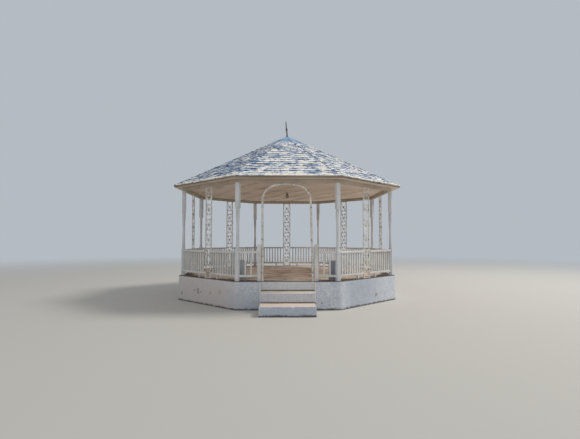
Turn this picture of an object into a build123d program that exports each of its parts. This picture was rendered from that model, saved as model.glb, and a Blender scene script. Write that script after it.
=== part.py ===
from build123d import *
import os
from math import atan2, cos, degrees, pi, radians, sin, tan

# Octagonal plaza gazebo: a plastered masonry platform with steps, turned corner posts, flat
# ironwork columns between them, baluster railings, a ceiling and a low eight-sided roof.
# Millimetres. The origin is on the ground at the centre, +Z is up and the entrance faces -Y.

os.makedirs("parts", exist_ok=True)

# Octagon
sides = 8
half_turn = 180 / sides                 # angle from the middle of a side to a corner, degrees
post_circle = 3250                      # from the centre to the axis of a corner post

# Platform
floor_height = 696
wall_margin = 135                       # the wall's corners stand this far outside the posts' axes
wall_thickness = 200
slab_thickness = 100
arris = 12                              # worn arris of the plaster

# Steps
riser_count = 3
step_width = 1310
riser_recess = 65                       # the top riser stands this far behind the wall face
upper_tread = 443
lower_tread = 530

# Corner posts, turned between two square blocks
post_side = 108
post_length = 2440
lower_block = 762                       # square part below the turning
upper_block = 650                       # square part above the turning
neck_radius = 37
neck_length = 26                        # of the neck between a block and its bead
bead_radius = 47
bead_height = 22
shaft_foot_radius = 43
shaft_head_radius = 38
turning_sides = 16                      # facets round the turning

# Ironwork columns
iron_spacing = 252                      # between the axes of the two uprights
iron_upright = 25
iron_bays = 6
scroll_steps = 4                        # straight steps of a wavy bar in each bay
scroll_width = 14
scroll_thickness = 10
weld_bite = 2                           # how far a wavy bar runs into the upright it touches
collar_side = 34                        # small square collar over each crossing
collar_thickness = 18
iron_bar = 20                           # height of the foot and head bars

# Railings
rail_top = 737                          # above the floor
handrail_width = 88
handrail_height = 54
handrail_chamfer = 9
bottom_rail_gap = 95
bottom_rail_width = 45
bottom_rail_height = 58
baluster_side = 38
baluster_count = 9                      # on each side of an ironwork column
short_baluster_count = 2                # beside the entrance
foot_side = 45
foot_place = 410                        # from the middle of a side

# Entrance
newel_side = 95
newel_height = 900
newel_round = 36
newel_place = 709                       # from the middle of the entrance
arch_bar = 46
arch_bar_sides = 8                      # facets round the bar
arch_leg_place = 623
arch_lean = 10                          # the left leg leans out by this at its top
arch_right_lean = 62                    # the right leg leans in by this at its top
arch_crown_rise = 110                   # of the crown over the shoulders, before they are rounded
arch_haunch_radius = 380
arch_crown_radius = 900
arch_clearance = 0.3                    # between the crown and the header beam
arch_foot_side = 70
arch_foot_height = 8

# Low blocks behind the two front corner posts
block_side = 250
block_height = 490
block_side_inset = 69                   # nearer the entrance than the post's axis
block_inset = 288                       # behind the post's axis

# Header, ceiling and roof
beam_width = 90
beam_height = 90
ceiling_thickness = 12
eave_overhang = 295                     # the eave's corners hang this far outside the posts' axes
eave_edge = 30                          # thickness of the roof at its eave
eave_lip = 15                           # the roof runs this far past the ceiling
roof_thickness = 45
roof_rise = 1780                        # from the eave's edge to where the slopes would meet
panel_tip = 30                          # the panels stop this far from the centre line
hip_cap_width = 75                      # on each side of a hip
hip_cap_thickness = 8
hip_cap_tip = 215
hip_cap_overhang = 6
apex_cap_radius = 290
apex_cap_top = 45
apex_cap_thickness = 8

# Finial, bent to the left
finial_bend = -5
finial_sides = 12                       # facets round the finial
flange_radius = 42
flange_height = 14
finial_collar_radius = 34
finial_collar_height = 30
stem_radius = 15
finial_height = 500
ball_radius = 33
ball_place = 225                        # of the ball's centre above the flange
ball_bands = 2                          # flat bands on each half of the ball
ball_band_turn = 30                     # degrees of the ball's outline in each band
tip_radius = 7

# Lantern under the ceiling
lantern_sides = 6
canopy_radius = 45
canopy_height = 14
lantern_stem_radius = 7
lantern_stem = 34
lantern_radius = 52
lantern_hood_height = 34
lantern_neck_radius = 14
pane_height = 66
pane_radius = 38
lantern_bar = 7
lantern_foot_height = 8
drop_radius = 9

# Worked out from the sizes above
turn = radians(half_turn)
post_apothem = post_circle * cos(turn)
half_side = post_circle * sin(turn)
base_radius = post_circle + wall_margin
base_apothem = base_radius * cos(turn)
fill_radius = base_radius - wall_thickness / cos(turn)
riser = floor_height / riser_count
riser_plane = base_apothem - riser_recess
post_head = floor_height + post_length
ceiling_level = post_head + beam_height
seat_level = ceiling_level + ceiling_thickness
eave_radius = post_circle + eave_overhang
eave_apothem = eave_radius * cos(turn)
eave_top = seat_level + eave_edge
pitch = atan2(roof_rise, eave_apothem)
rail_underside = rail_top - handrail_height
baluster_foot = bottom_rail_gap + bottom_rail_height
baluster_length = rail_underside - baluster_foot

# Outward direction of each side, in degrees from +X, and place of each corner, in sides from +X
side_angles = {
    "right": 0, "back_right": 45, "back": 90, "back_left": 135,
    "left": 180, "front_left": 225, "front": 270, "front_right": 315,
}
corner_steps = {
    "right_back": 0.5, "back_right": 1.5, "back_left": 2.5, "left_back": 3.5,
    "left_front": 4.5, "front_left": 5.5, "front_right": 6.5, "right_front": 7.5,
}


def direction(angle):
    return Vector(cos(radians(angle)), sin(radians(angle)), 0)


def corner_plane(angle):
    # Lies level at the foot of a corner post: x points outwards.
    foot = direction(angle) * post_circle + Vector(0, 0, floor_height)
    return Plane(origin=foot, x_dir=direction(angle), z_dir=(0, 0, 1))


def side_plane(angle):
    # Lies level on the floor at the middle of a side: x runs along the side, y points inwards.
    middle = direction(angle) * post_apothem + Vector(0, 0, floor_height)
    return Plane(origin=middle, x_dir=direction(angle + 90), z_dir=(0, 0, 1))


def section_plane(angle):
    # Stands across a side through the centre line: x points outwards and y up.
    return Plane(origin=(0, 0, 0), x_dir=direction(angle), z_dir=direction(angle - 90))


def hip_plane(angle):
    # Upright plane through the centre line and a corner, facing to the left of the corner.
    return Plane(origin=(0, 0, 0), x_dir=direction(angle), z_dir=direction(angle + 90))


def roof_height(apothem):
    return eave_top + (eave_apothem - apothem) * tan(pitch)


def keep_wedge(angle):
    # Cuts what was made across a side down to the eighth between its two corners.
    split(bisect_by=hip_plane(angle + half_turn), keep=Keep.BOTTOM)
    split(bisect_by=hip_plane(angle - half_turn), keep=Keep.TOP)


# Platform: the plastered wall, the fill inside it and the floor slab on the fill
with BuildPart() as base_wall:
    with BuildSketch():
        RegularPolygon(base_radius, sides, rotation=half_turn)
    extrude(amount=floor_height)
    chamfer(base_wall.faces().sort_by(Axis.Z)[-1].edges(), length=arris)
    with BuildSketch():
        RegularPolygon(fill_radius, sides, rotation=half_turn)
    extrude(amount=floor_height, mode=Mode.SUBTRACT)
    with BuildSketch():
        with Locations((0, -riser_plane)):
            Rectangle(step_width, wall_thickness, align=(Align.CENTER, Align.MAX))
    extrude(amount=floor_height, mode=Mode.SUBTRACT)
base_wall.part.label = "base_wall"
export_step(base_wall.part, "parts/base_wall.step")

with BuildPart() as base_fill:
    with BuildSketch():
        RegularPolygon(fill_radius, sides, rotation=half_turn)
    extrude(amount=floor_height - slab_thickness)
base_fill.part.label = "base_fill"
export_step(base_fill.part, "parts/base_fill.step")

with BuildPart() as floor_slab:
    with BuildSketch(Plane.XY.offset(floor_height - slab_thickness)):
        RegularPolygon(fill_radius, sides, rotation=half_turn)
    extrude(amount=slab_thickness)
floor_slab.part.label = "floor_slab"
export_step(floor_slab.part, "parts/floor_slab.step")

# Steps: two solid masonry steps before the recess in the wall
step_sizes = {
    "step_upper": (riser_plane, upper_tread, 2 * riser),
    "step_lower": (riser_plane + upper_tread, lower_tread, riser),
}
for name, (back, tread, height) in step_sizes.items():
    with BuildPart() as step:
        with BuildSketch():
            with Locations((0, -back)):
                Rectangle(step_width, tread, align=(Align.CENTER, Align.MAX))
        extrude(amount=height)
        chamfer(step.edges().group_by(Axis.Z)[-1].sort_by(Axis.Y)[0], length=arris)
    step.part.label = name
    export_step(step.part, f"parts/{name}.step")

# Corner post: two square blocks with bevelled ends, and between them a neck, a bead, the tapered
# shaft, a second bead and a second neck
shaft_foot = lower_block + neck_length + bead_height
shaft_head = post_length - upper_block - neck_length - bead_height
shaft_length = shaft_head - shaft_foot
facet_turn = 180 / turning_sides
with BuildPart() as post_blocks:
    for foot, length in ((0, lower_block), (post_length - upper_block, upper_block)):
        with BuildSketch(Plane.XY.offset(foot)):
            Rectangle(post_side, post_side)
        extrude(amount=length)
    chamfer(post_blocks.faces().filter_by(Axis.Z).sort_by(Axis.Z)[1:3].edges(),
            length=post_side / 2 - neck_radius)

with BuildPart() as bead:
    with BuildSketch():
        RegularPolygon(bead_radius, turning_sides, major_radius=False, rotation=facet_turn)
    extrude(amount=bead_height)
    chamfer(bead.faces().filter_by(Axis.Z).edges(), length=bead_radius - neck_radius)

with BuildPart() as corner_post:
    with BuildSketch(Plane.XY.offset(shaft_foot)):
        RegularPolygon(shaft_foot_radius, turning_sides, major_radius=False, rotation=facet_turn)
    extrude(amount=shaft_length,
            taper=degrees(atan2(shaft_foot_radius - shaft_head_radius, shaft_length)))
    chamfer(corner_post.faces().sort_by(Axis.Z)[0].edges(), length=shaft_foot_radius - neck_radius)
    with BuildSketch(Plane.XY.offset(lower_block)):
        RegularPolygon(neck_radius, turning_sides, major_radius=False, rotation=facet_turn)
    extrude(amount=post_length - upper_block - lower_block)
    with Locations((0, 0, shaft_foot - bead_height), (0, 0, shaft_head)):
        add(bead.part)
    add(post_blocks.part)

for name, step in corner_steps.items():
    with BuildPart(corner_plane(step * 2 * half_turn)) as post:
        add(corner_post.part)
    post.part.label = f"post_{name}"
    export_step(post.part, f"parts/post_{name}.step")

# Ironwork column: two uprights with a pair of wavy bars that cross once in every bay
bay = post_length / iron_bays
wave_reach = (iron_spacing - iron_upright - scroll_width) / 2 + weld_bite
wave_heights = [count * bay / scroll_steps for count in range(iron_bays * scroll_steps + 1)]
with BuildPart() as ironwork:
    with BuildSketch(Plane.XZ):
        with Locations((-iron_spacing / 2, 0), (iron_spacing / 2, 0)):
            Rectangle(iron_upright, post_length, align=(Align.CENTER, Align.MIN))
        with Locations((0, iron_bar / 2), (0, post_length - iron_bar / 2)):
            Rectangle(iron_spacing, iron_bar)
    extrude(amount=iron_upright / 2, both=True)
    with BuildSketch(Plane.XZ):
        for first in (-1, 1):
            with BuildLine():
                Polyline(*[(first * wave_reach * cos(pi * height / bay), height)
                           for height in wave_heights])
            trace(line_width=scroll_width)
        with Locations((0, post_length / 2)):
            Rectangle(iron_spacing, post_length, mode=Mode.INTERSECT)
    extrude(amount=scroll_thickness / 2, both=True)
    with BuildSketch(Plane.XZ):
        with Locations(*[(0, (count + 0.5) * bay) for count in range(iron_bays)]):
            Rectangle(collar_side, collar_side, rotation=45)
    extrude(amount=collar_thickness / 2, both=True)

ironwork_sides = [name for name in side_angles if name != "front"]
for name in ironwork_sides:
    with BuildPart(side_plane(side_angles[name])) as iron_column:
        add(ironwork.part)
    iron_column.part.label = f"iron_column_{name}"
    export_step(iron_column.part, f"parts/iron_column_{name}.step")


# Railings: handrail, balusters, bottom rail and feet, cut to the slanting sides of the posts
def rail_end(inward):
    # How far a rail reaches along the side before it meets the corner post.
    return half_side - (post_side / 2 + inward * sin(turn)) / cos(turn)


def rail_plan(inner, width):
    # Corners of a rail seen from above, between its inner end and the corner post.
    return [(inner, -width / 2), (rail_end(-width / 2), -width / 2),
            (rail_end(width / 2), width / 2), (inner, width / 2)]


def baluster_places(inner, count):
    # Middles of the balusters, evenly spread between the inner end and the corner post.
    step = (rail_end(0) - inner) / (count + 1)
    return [(inner + step * place, 0) for place in range(1, count + 1)]


beside_iron = (iron_spacing + iron_upright) / 2
with BuildPart() as railing_pair:
    with BuildSketch(Plane.XY.offset(rail_underside)):
        Polygon(*rail_plan(beside_iron, handrail_width), align=None)
    extrude(amount=handrail_height)
    chamfer(railing_pair.faces().sort_by(Axis.Z)[-1].edges().filter_by(Axis.X),
            length=handrail_chamfer)
    with BuildSketch(Plane.XY.offset(bottom_rail_gap)):
        Polygon(*rail_plan(beside_iron, bottom_rail_width), align=None)
    extrude(amount=bottom_rail_height)
    with BuildSketch(Plane.XY.offset(baluster_foot)):
        with Locations(*baluster_places(beside_iron, baluster_count)):
            Rectangle(baluster_side, baluster_side)
    extrude(amount=baluster_length)
    with BuildSketch():
        with Locations((foot_place, 0)):
            Rectangle(foot_side, foot_side)
    extrude(amount=bottom_rail_gap)
    mirror(about=Plane.YZ)

for name in ironwork_sides:
    with BuildPart(side_plane(side_angles[name])) as railing:
        add(railing_pair.part)
    railing.part.label = f"railing_{name}"
    export_step(railing.part, f"parts/railing_{name}.step")

# Short railings between the front corner posts and the newels
entrance = side_plane(side_angles["front"])
beside_newel = newel_place + newel_side / 2
with BuildPart() as short_railing:
    with BuildSketch(Plane.XY.offset(rail_underside)):
        Polygon(*rail_plan(beside_newel, handrail_width), align=None)
    extrude(amount=handrail_height)
    chamfer(short_railing.faces().sort_by(Axis.Z)[-1].edges().filter_by(Axis.X),
            length=handrail_chamfer)
    with BuildSketch(Plane.XY.offset(bottom_rail_gap)):
        Polygon(*rail_plan(beside_newel, bottom_rail_width), align=None)
    extrude(amount=bottom_rail_height)
    with BuildSketch(Plane.XY.offset(baluster_foot)):
        with Locations(*baluster_places(beside_newel, short_baluster_count)):
            Rectangle(baluster_side, baluster_side)
    extrude(amount=baluster_length)

with BuildPart(entrance) as entrance_railing_right:
    add(short_railing.part)
entrance_railing_right.part.label = "entrance_railing_right"
export_step(entrance_railing_right.part, "parts/entrance_railing_right.step")

with BuildPart() as entrance_railing_left:
    add(entrance_railing_right.part)
    mirror(about=Plane.YZ, mode=Mode.REPLACE)
entrance_railing_left.part.label = "entrance_railing_left"
export_step(entrance_railing_left.part, "parts/entrance_railing_left.step")

# Newels beside the entrance
for name, hand in {"left": -1, "right": 1}.items():
    with BuildPart() as newel:
        with BuildSketch(entrance):
            with Locations((hand * newel_place, 0)):
                Rectangle(newel_side, newel_side)
        extrude(amount=newel_height)
        fillet(newel.faces().sort_by(Axis.Z)[-1].edges(), radius=newel_round)
    newel.part.label = f"newel_{name}"
    export_step(newel.part, f"parts/newel_{name}.step")

# Entrance arch: one bent bar from floor to floor, slumped a little to the left
arch_left = -arch_leg_place - arch_lean
arch_right = arch_leg_place - arch_right_lean
crown_slope = atan2(arch_crown_rise, (arch_right - arch_left) / 2)
crown_corner = (post_length - arch_clearance - arch_bar / 2
                + arch_crown_radius * (1 / cos(crown_slope) - 1))
shoulder_corner = crown_corner - arch_crown_rise
entrance_elevation = Plane(origin=entrance.origin, x_dir=entrance.x_dir, z_dir=-entrance.y_dir)
with BuildPart() as entrance_arch:
    with BuildLine(entrance_elevation) as arch_line:
        FilletPolyline(
            (-arch_leg_place, -arch_bar),
            (arch_left, shoulder_corner),
            ((arch_left + arch_right) / 2, crown_corner),
            (arch_right, shoulder_corner),
            (arch_leg_place, -arch_bar),
            radius=(arch_haunch_radius, arch_crown_radius, arch_haunch_radius),
        )
    with BuildSketch(Plane(origin=arch_line.line @ 0, x_dir=entrance.y_dir,
                           z_dir=arch_line.line % 0)):
        RegularPolygon(arch_bar / 2, arch_bar_sides, major_radius=False,
                       rotation=180 / arch_bar_sides)
    sweep()
    split(bisect_by=Plane.XY.offset(floor_height), keep=Keep.TOP)
    with BuildSketch(entrance):
        with Locations((-arch_leg_place, 0), (arch_leg_place, 0)):
            Rectangle(arch_foot_side, arch_foot_side)
    extrude(amount=arch_foot_height)
entrance_arch.part.label = "entrance_arch"
export_step(entrance_arch.part, "parts/entrance_arch.step")

# Low masonry blocks inside the front corners
for name, hand in {"left": -1, "right": 1}.items():
    with BuildPart() as corner_block:
        with BuildSketch(entrance):
            with Locations((hand * (half_side - block_side_inset), block_inset)):
                Rectangle(block_side, block_side)
        extrude(amount=block_height)
        chamfer(corner_block.faces().sort_by(Axis.Z)[-1].edges(), length=arris)
    corner_block.part.label = f"corner_block_{name}"
    export_step(corner_block.part, f"parts/corner_block_{name}.step")

# Header beams on the posts, mitred over them: every other one shares a node
side_sets = {"square": (0, 90, 180, 270), "diagonal": (45, 135, 225, 315)}
with BuildPart() as beam:
    with BuildSketch(section_plane(0)):
        with Locations((post_apothem, post_head)):
            Rectangle(beam_width, beam_height, align=(Align.CENTER, Align.MIN))
    extrude(amount=post_circle, both=True)
    keep_wedge(0)
for set_name, angles in side_sets.items():
    with BuildPart() as header_beams:
        add([beam.part.rotate(Axis.Z, angle) for angle in angles])
    header_beams.part.label = f"header_beams_{set_name}"
    export_step(header_beams.part, f"parts/header_beams_{set_name}.step")

# Ceiling of sheets under the roof
with BuildPart() as ceiling:
    with BuildSketch(Plane.XY.offset(ceiling_level)):
        RegularPolygon(eave_apothem - eave_lip, sides, major_radius=False, rotation=half_turn)
    extrude(amount=ceiling_thickness)
ceiling.part.label = "ceiling"
export_step(ceiling.part, "parts/ceiling.step")

# Roof panels: one sloping face, cut level where it sits on the ceiling and upright at the eave
drop = roof_thickness / cos(pitch)
seat_apothem = eave_apothem - (drop - eave_edge) / tan(pitch)
with BuildPart() as roof_panel:
    with BuildSketch(section_plane(0)):
        Polygon((eave_apothem, seat_level), (eave_apothem, eave_top),
                (panel_tip, roof_height(panel_tip)), (panel_tip, roof_height(panel_tip) - drop),
                (seat_apothem, seat_level), align=None)
    extrude(amount=eave_radius, both=True)
    keep_wedge(0)
for set_name, angles in side_sets.items():
    with BuildPart() as roof_panels:
        add([roof_panel.part.rotate(Axis.Z, angle) for angle in angles])
    roof_panels.part.label = f"roof_panels_{set_name}"
    export_step(roof_panels.part, f"parts/roof_panels_{set_name}.step")

# Hip caps: a folded strip along each hip, lying on both panels
cap_rise = hip_cap_thickness / cos(pitch)
cap_eave = eave_apothem + hip_cap_overhang
with BuildPart() as hip_cap:
    with BuildSketch(section_plane(0)):
        Polygon((cap_eave, roof_height(cap_eave)), (cap_eave, roof_height(cap_eave) + cap_rise),
                (hip_cap_tip, roof_height(hip_cap_tip) + cap_rise),
                (hip_cap_tip, roof_height(hip_cap_tip)), align=None)
    extrude(amount=eave_radius, both=True)
    split(bisect_by=hip_plane(half_turn), keep=Keep.BOTTOM)
    split(bisect_by=hip_plane(half_turn).offset(-hip_cap_width), keep=Keep.TOP)
    mirror(about=hip_plane(half_turn))
with BuildPart() as hip_caps:
    add([hip_cap.part.rotate(Axis.Z, 2 * half_turn * place) for place in range(sides)])
hip_caps.part.label = "hip_caps"
export_step(hip_caps.part, "parts/hip_caps.step")

# Apex cap: a folded sheet over the ends of the hips, with a flat top for the finial
cap_foot = roof_height(apex_cap_radius * cos(turn)) + cap_rise
cap_height = (apex_cap_radius - apex_cap_top) * cos(turn) * tan(pitch)
cap_sheet = apex_cap_thickness / cos(pitch)
cap_slant = 90 - degrees(pitch)
with BuildPart() as apex_cap:
    with BuildSketch(Plane.XY.offset(cap_foot + cap_sheet)):
        RegularPolygon(apex_cap_radius, sides, rotation=half_turn)
    extrude(amount=cap_height, taper=cap_slant)
    with BuildSketch(Plane.XY.offset(cap_foot)) as cap_outline:
        RegularPolygon(apex_cap_radius, sides, rotation=half_turn)
    extrude(amount=cap_sheet)
    extrude(cap_outline.sketch, amount=cap_height, taper=cap_slant, mode=Mode.SUBTRACT)
apex_cap.part.label = "apex_cap"
export_step(apex_cap.part, "parts/apex_cap.step")

# Finial: a turned spike with a ball, leaning on its flange
finial_foot = Plane.XY.offset(cap_foot + cap_height + cap_sheet)
spike_foot = finial_foot.offset(flange_height).rotated((0, finial_bend, 0))
with BuildPart() as ball:
    for band in range(ball_bands):
        low = radians(ball_band_turn * band)
        high = radians(ball_band_turn * (band + 1))
        with BuildSketch(Plane.XY.offset(ball_radius * sin(low))):
            RegularPolygon(ball_radius * cos(low), finial_sides, major_radius=False)
        extrude(amount=ball_radius * (sin(high) - sin(low)), taper=ball_band_turn * (band + 0.5))
    mirror(about=Plane.XY)
with BuildPart() as finial:
    with BuildSketch(finial_foot):
        RegularPolygon(flange_radius, finial_sides)
    extrude(amount=flange_height)
    with BuildSketch(spike_foot.offset(-flange_height / 2)):
        RegularPolygon(finial_collar_radius, finial_sides, major_radius=False)
    extrude(amount=flange_height / 2)
    with BuildSketch(spike_foot):
        RegularPolygon(finial_collar_radius, finial_sides, major_radius=False)
    extrude(amount=finial_collar_height,
            taper=degrees(atan2(finial_collar_radius - stem_radius, finial_collar_height)))
    with BuildSketch(spike_foot):
        RegularPolygon(stem_radius, finial_sides, major_radius=False)
    extrude(amount=finial_height, taper=degrees(atan2(stem_radius - tip_radius, finial_height)))
    with Locations(spike_foot.offset(ball_place).location):
        add(ball.part)
finial.part.label = "finial"
export_step(finial.part, "parts/finial.step")

# Lantern: canopy, stem and hood above a six-sided cage, with the glass inside it
hood_top = ceiling_level - canopy_height - lantern_stem
pane_top = hood_top - lantern_hood_height
pane_foot = pane_top - pane_height
with BuildPart() as lantern_frame:
    with BuildSketch(Plane.XY.offset(ceiling_level)):
        RegularPolygon(canopy_radius, finial_sides)
    extrude(amount=-canopy_height)
    with BuildSketch(Plane.XY.offset(hood_top)):
        RegularPolygon(lantern_stem_radius, finial_sides)
    extrude(amount=lantern_stem)
    with BuildSketch(Plane.XY.offset(pane_top)):
        RegularPolygon(lantern_radius, lantern_sides, major_radius=False)
    extrude(amount=lantern_hood_height,
            taper=degrees(atan2(lantern_radius - lantern_neck_radius, lantern_hood_height)))
    with BuildSketch(Plane.XY.offset(pane_foot)):
        with PolarLocations(pane_radius, lantern_sides):
            Rectangle(lantern_bar, lantern_bar)
    extrude(amount=pane_height)
    with BuildSketch(Plane.XY.offset(pane_foot)):
        RegularPolygon(pane_radius + lantern_bar, lantern_sides)
    extrude(amount=-lantern_foot_height)
    with BuildSketch(Plane.XY.offset(pane_foot - lantern_foot_height)):
        RegularPolygon(drop_radius, finial_sides)
    extrude(amount=-drop_radius)
lantern_frame.part.label = "lantern_frame"
export_step(lantern_frame.part, "parts/lantern_frame.step")

with BuildPart() as lantern_glass:
    with BuildSketch(Plane.XY.offset(pane_foot)):
        RegularPolygon(pane_radius - lantern_bar, lantern_sides)
    extrude(amount=pane_height)
lantern_glass.part.label = "lantern_glass"
export_step(lantern_glass.part, "parts/lantern_glass.step")
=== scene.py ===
import math
import random

import bmesh
import bpy
from mathutils import Matrix, Vector, noise


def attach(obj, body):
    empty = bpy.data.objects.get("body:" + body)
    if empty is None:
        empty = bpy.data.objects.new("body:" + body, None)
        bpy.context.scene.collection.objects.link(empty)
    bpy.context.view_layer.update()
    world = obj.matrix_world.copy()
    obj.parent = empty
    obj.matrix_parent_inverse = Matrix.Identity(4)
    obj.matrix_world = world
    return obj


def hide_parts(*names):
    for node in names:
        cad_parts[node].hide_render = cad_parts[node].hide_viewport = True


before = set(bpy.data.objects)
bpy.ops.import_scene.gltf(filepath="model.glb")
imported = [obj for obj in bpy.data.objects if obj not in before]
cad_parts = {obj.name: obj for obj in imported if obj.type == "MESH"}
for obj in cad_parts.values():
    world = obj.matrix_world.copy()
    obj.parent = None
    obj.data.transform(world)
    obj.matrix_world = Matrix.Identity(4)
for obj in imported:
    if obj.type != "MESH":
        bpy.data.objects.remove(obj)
noise.seed_set(11)             # or the clock seeds noise_vector, and every run weathers anew

# Octagonal plaza gazebo: painted masonry platform, turned posts, flat ironwork columns, railings and
# a shingled roof. Metres, the origin on the ground at the centre, the entrance towards -Y.


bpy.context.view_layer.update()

gazebo = {
    "postCircle": 3.25,        # centre to the axis of a corner post
    "floor": 0.696,
    "ceiling": 3.226,
    "postLength": 2.44,
    "eaveCircle": 3.545,       # centre to a corner of the eave
    "eaveTop": 3.268,
    "roofRise": 1.780,
    "halfTurn": math.radians(22.5),
}
wall = {
    "apothem": 3.1273,
    "thickness": 0.200,
    "recess": 0.065,           # of the top riser behind the wall's face
    "stepWidth": 1.310,
    "upperTread": 0.443,
    "lowerTread": 0.530,
    "arris": 0.016,            # worn edge along the top
    "cell": 0.055,             # size of the cuts that let it be uneven
    "uneven": 0.007,
    "corner": 0.20,            # radius to which the render is worked round at the corners
}
floorLevel = gazebo["floor"]
length = gazebo["postLength"]
postApothem = gazebo["postCircle"] * math.cos(gazebo["halfTurn"])
halfSide = gazebo["postCircle"] * math.sin(gazebo["halfTurn"])
eaveApothem = gazebo["eaveCircle"] * math.cos(gazebo["halfTurn"])
pitch = math.atan2(gazebo["roofRise"], eaveApothem)
ironPlane = -postApothem       # the front railing, arch and ironwork stand in it
halfStep = wall["stepWidth"] / 2
riser = floorLevel / 3
topRiser = wall["apothem"] - wall["recess"]
middleRiser = topRiser + wall["upperTread"]
sideAngles = {
    "right": 0, "back_right": 45, "back": 90, "back_left": 135,
    "left": 180, "front_left": 225, "front": 270, "front_right": 315,
}
cornerAngles = {
    "right_back": 22.5, "back_right": 67.5, "back_left": 112.5, "left_back": 157.5,
    "left_front": 202.5, "front_left": 247.5, "front_right": 292.5, "right_front": 337.5,
}

# Camera, as the photograph was taken: eye height, a few metres in front of the steps
cameraView = {
    "place": (-0.077, -13.267, 1.713),
    "lift": 2.811,             # degrees above level
    "turn": 0.731,             # degrees towards +X
    "roll": -0.027,
    "lens": 25.66,
}
bpy.ops.object.camera_add(
    location=cameraView["place"],
    rotation=(math.radians(90 + cameraView["lift"]), math.radians(cameraView["roll"]),
              math.radians(-cameraView["turn"])),
)
camera = bpy.context.object
camera.name = "camera"
camera.data.lens = cameraView["lens"]
camera.data.sensor_width = 36
camera.data.clip_end = 400
camera.data.dof.use_dof = False
bpy.context.scene.camera = camera
bpy.context.scene.view_settings.view_transform = "Standard"
print("camera set")


# Small tools for materials
def hexColour(text):
    # sRGB hex to the linear values that Blender wants
    values = [int(text[place:place + 2], 16) / 255 for place in (1, 3, 5)]
    return [v / 12.92 if v <= 0.04045 else ((v + 0.055) / 1.055) ** 2.4 for v in values] + [1]


def fill(node, inputs):
    # Sets a node's inputs: to a value, a hex colour, a socket, or a node, which gives its first output
    for key, value in inputs.items():
        if isinstance(value, bpy.types.Node):
            value = next(output for output in value.outputs if output.enabled)
        if isinstance(value, bpy.types.NodeSocket):
            node.id_data.links.new(value, node.inputs[key])
        else:
            node.inputs[key].default_value = hexColour(value) if isinstance(value, str) else value


def addNode(tree, kind, inputs=None, stops=(), **settings):
    # One node with its settings, its inputs, and a ramp's stops
    node = tree.nodes.new("ShaderNode" + kind)
    for key, value in settings.items():
        setattr(node, key, value)
    fill(node, inputs or {})
    for count, (place, colour) in enumerate(stops):
        elements = node.color_ramp.elements
        stop = elements[count] if count < 2 else elements.new(place)
        stop.position = place
        stop.color = hexColour(colour)
    return node


def newMaterial(name):
    # A new material with its tree and the object's own coordinates
    material = bpy.data.materials.new(name)
    material.use_nodes = True
    place = addNode(material.node_tree, "TexCoord").outputs["Object"]
    return material, material.node_tree, place


def coat(tree, under, over, value, start, full, amount=1.0):
    # Lays one colour over another: nothing where the value is at start, the whole amount at full
    mask = addNode(tree, "MapRange", {0: value, 1: start, 2: full, 4: amount})
    return addNode(tree, "Mix", {0: mask, 6: under, 7: over}, data_type="RGBA")


def dustOn(tree, under, dust, grain, start, full, amount):
    # Dust on the faces that look up, with a ragged edge
    normal = addNode(tree, "NewGeometry").outputs["Normal"]
    upward = addNode(tree, "SeparateXYZ", {0: normal}).outputs["Z"]
    ragged = addNode(tree, "Math", {0: grain, 1: 0.5, 2: upward}, operation="MULTIPLY_ADD")
    return coat(tree, under, dust, ragged, start, full, amount)


def finish(tree, colour, rough, height, strength, distance):
    # The main shader's colour, roughness and relief
    bump = addNode(tree, "Bump", {"Height": height, "Strength": strength, "Distance": distance})
    fill(tree.nodes["Principled BSDF"], {"Base Color": colour, "Roughness": rough, "Normal": bump})


# Small tools for pieces
def alone(piece):
    bpy.ops.object.select_all(action="DESELECT")
    piece.select_set(True)
    bpy.context.view_layer.objects.active = piece


def startEdit(piece):
    # Edit mode with everything selected
    alone(piece)
    bpy.ops.object.mode_set(mode="EDIT")
    bpy.ops.mesh.select_all(action="SELECT")


def endEdit():
    bpy.ops.object.mode_set(mode="OBJECT")


def closeUp(merged=False):
    # Leaves edit mode with all faces outwards
    bpy.ops.mesh.select_all(action="SELECT")
    if merged:
        bpy.ops.mesh.remove_doubles(threshold=0.0001)
    bpy.ops.mesh.normals_make_consistent(inside=False)
    endEdit()


def pickEdges(piece, test):
    # In edit mode, selects the edges whose two ends pass the test
    bpy.ops.mesh.select_mode(type="EDGE")
    bpy.ops.mesh.select_all(action="DESELECT")
    mesh = bmesh.from_edit_mesh(piece.data)
    for edge in mesh.edges:
        if test(edge.verts[0].co, edge.verts[1].co):
            edge.select_set(True)
    bmesh.update_edit_mesh(piece.data)


def taken(name):
    # The primitive just added, named, with its place moved into its mesh
    piece = bpy.context.object
    piece.name = name
    bpy.ops.object.transform_apply(location=True, rotation=True, scale=True)
    return piece


def addBlock(name, low, high):
    # A block between two corners
    middle = [(a + b) / 2 for a, b in zip(low, high)]
    bpy.ops.mesh.primitive_cube_add(size=1, location=middle,
                                    scale=[b - a for a, b in zip(low, high)])
    return taken(name)


def standBlock(name, spot, side, height):
    # A square block that stands on a spot
    half = Vector((side / 2, side / 2, 0))
    return addBlock(name, spot - half, spot + half + Vector((0, 0, height)))


def levelBar(name, left, right, width, low, high):
    # A level bar at the front, over the line of the posts
    return addBlock(name, (left, ironPlane - width / 2, low), (right, ironPlane + width / 2, high))


def upright(least):
    # Test for edges that rise more than this
    return lambda a, b: abs(a.z - b.z) > least


def above(level):
    # Test for edges that lie over a level
    return lambda a, b: min(a.z, b.z) > level


def roundEdges(piece, width, segments, test):
    # Bevels the edges that pass the test
    startEdit(piece)
    pickEdges(piece, test)
    bpy.ops.mesh.bevel(offset=width, segments=segments, affect="EDGES", clamp_overlap=True)
    endEdit()


def cutAcross(piece, *counts):
    # So many even cuts across the edges that run along x, y and z
    for axis, count in enumerate(counts):
        if count:
            startEdit(piece)
            pickEdges(piece, lambda a, b: abs((b - a).normalized()[axis]) > 0.99)
            bpy.ops.mesh.subdivide(number_cuts=count)
            endEdit()


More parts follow.
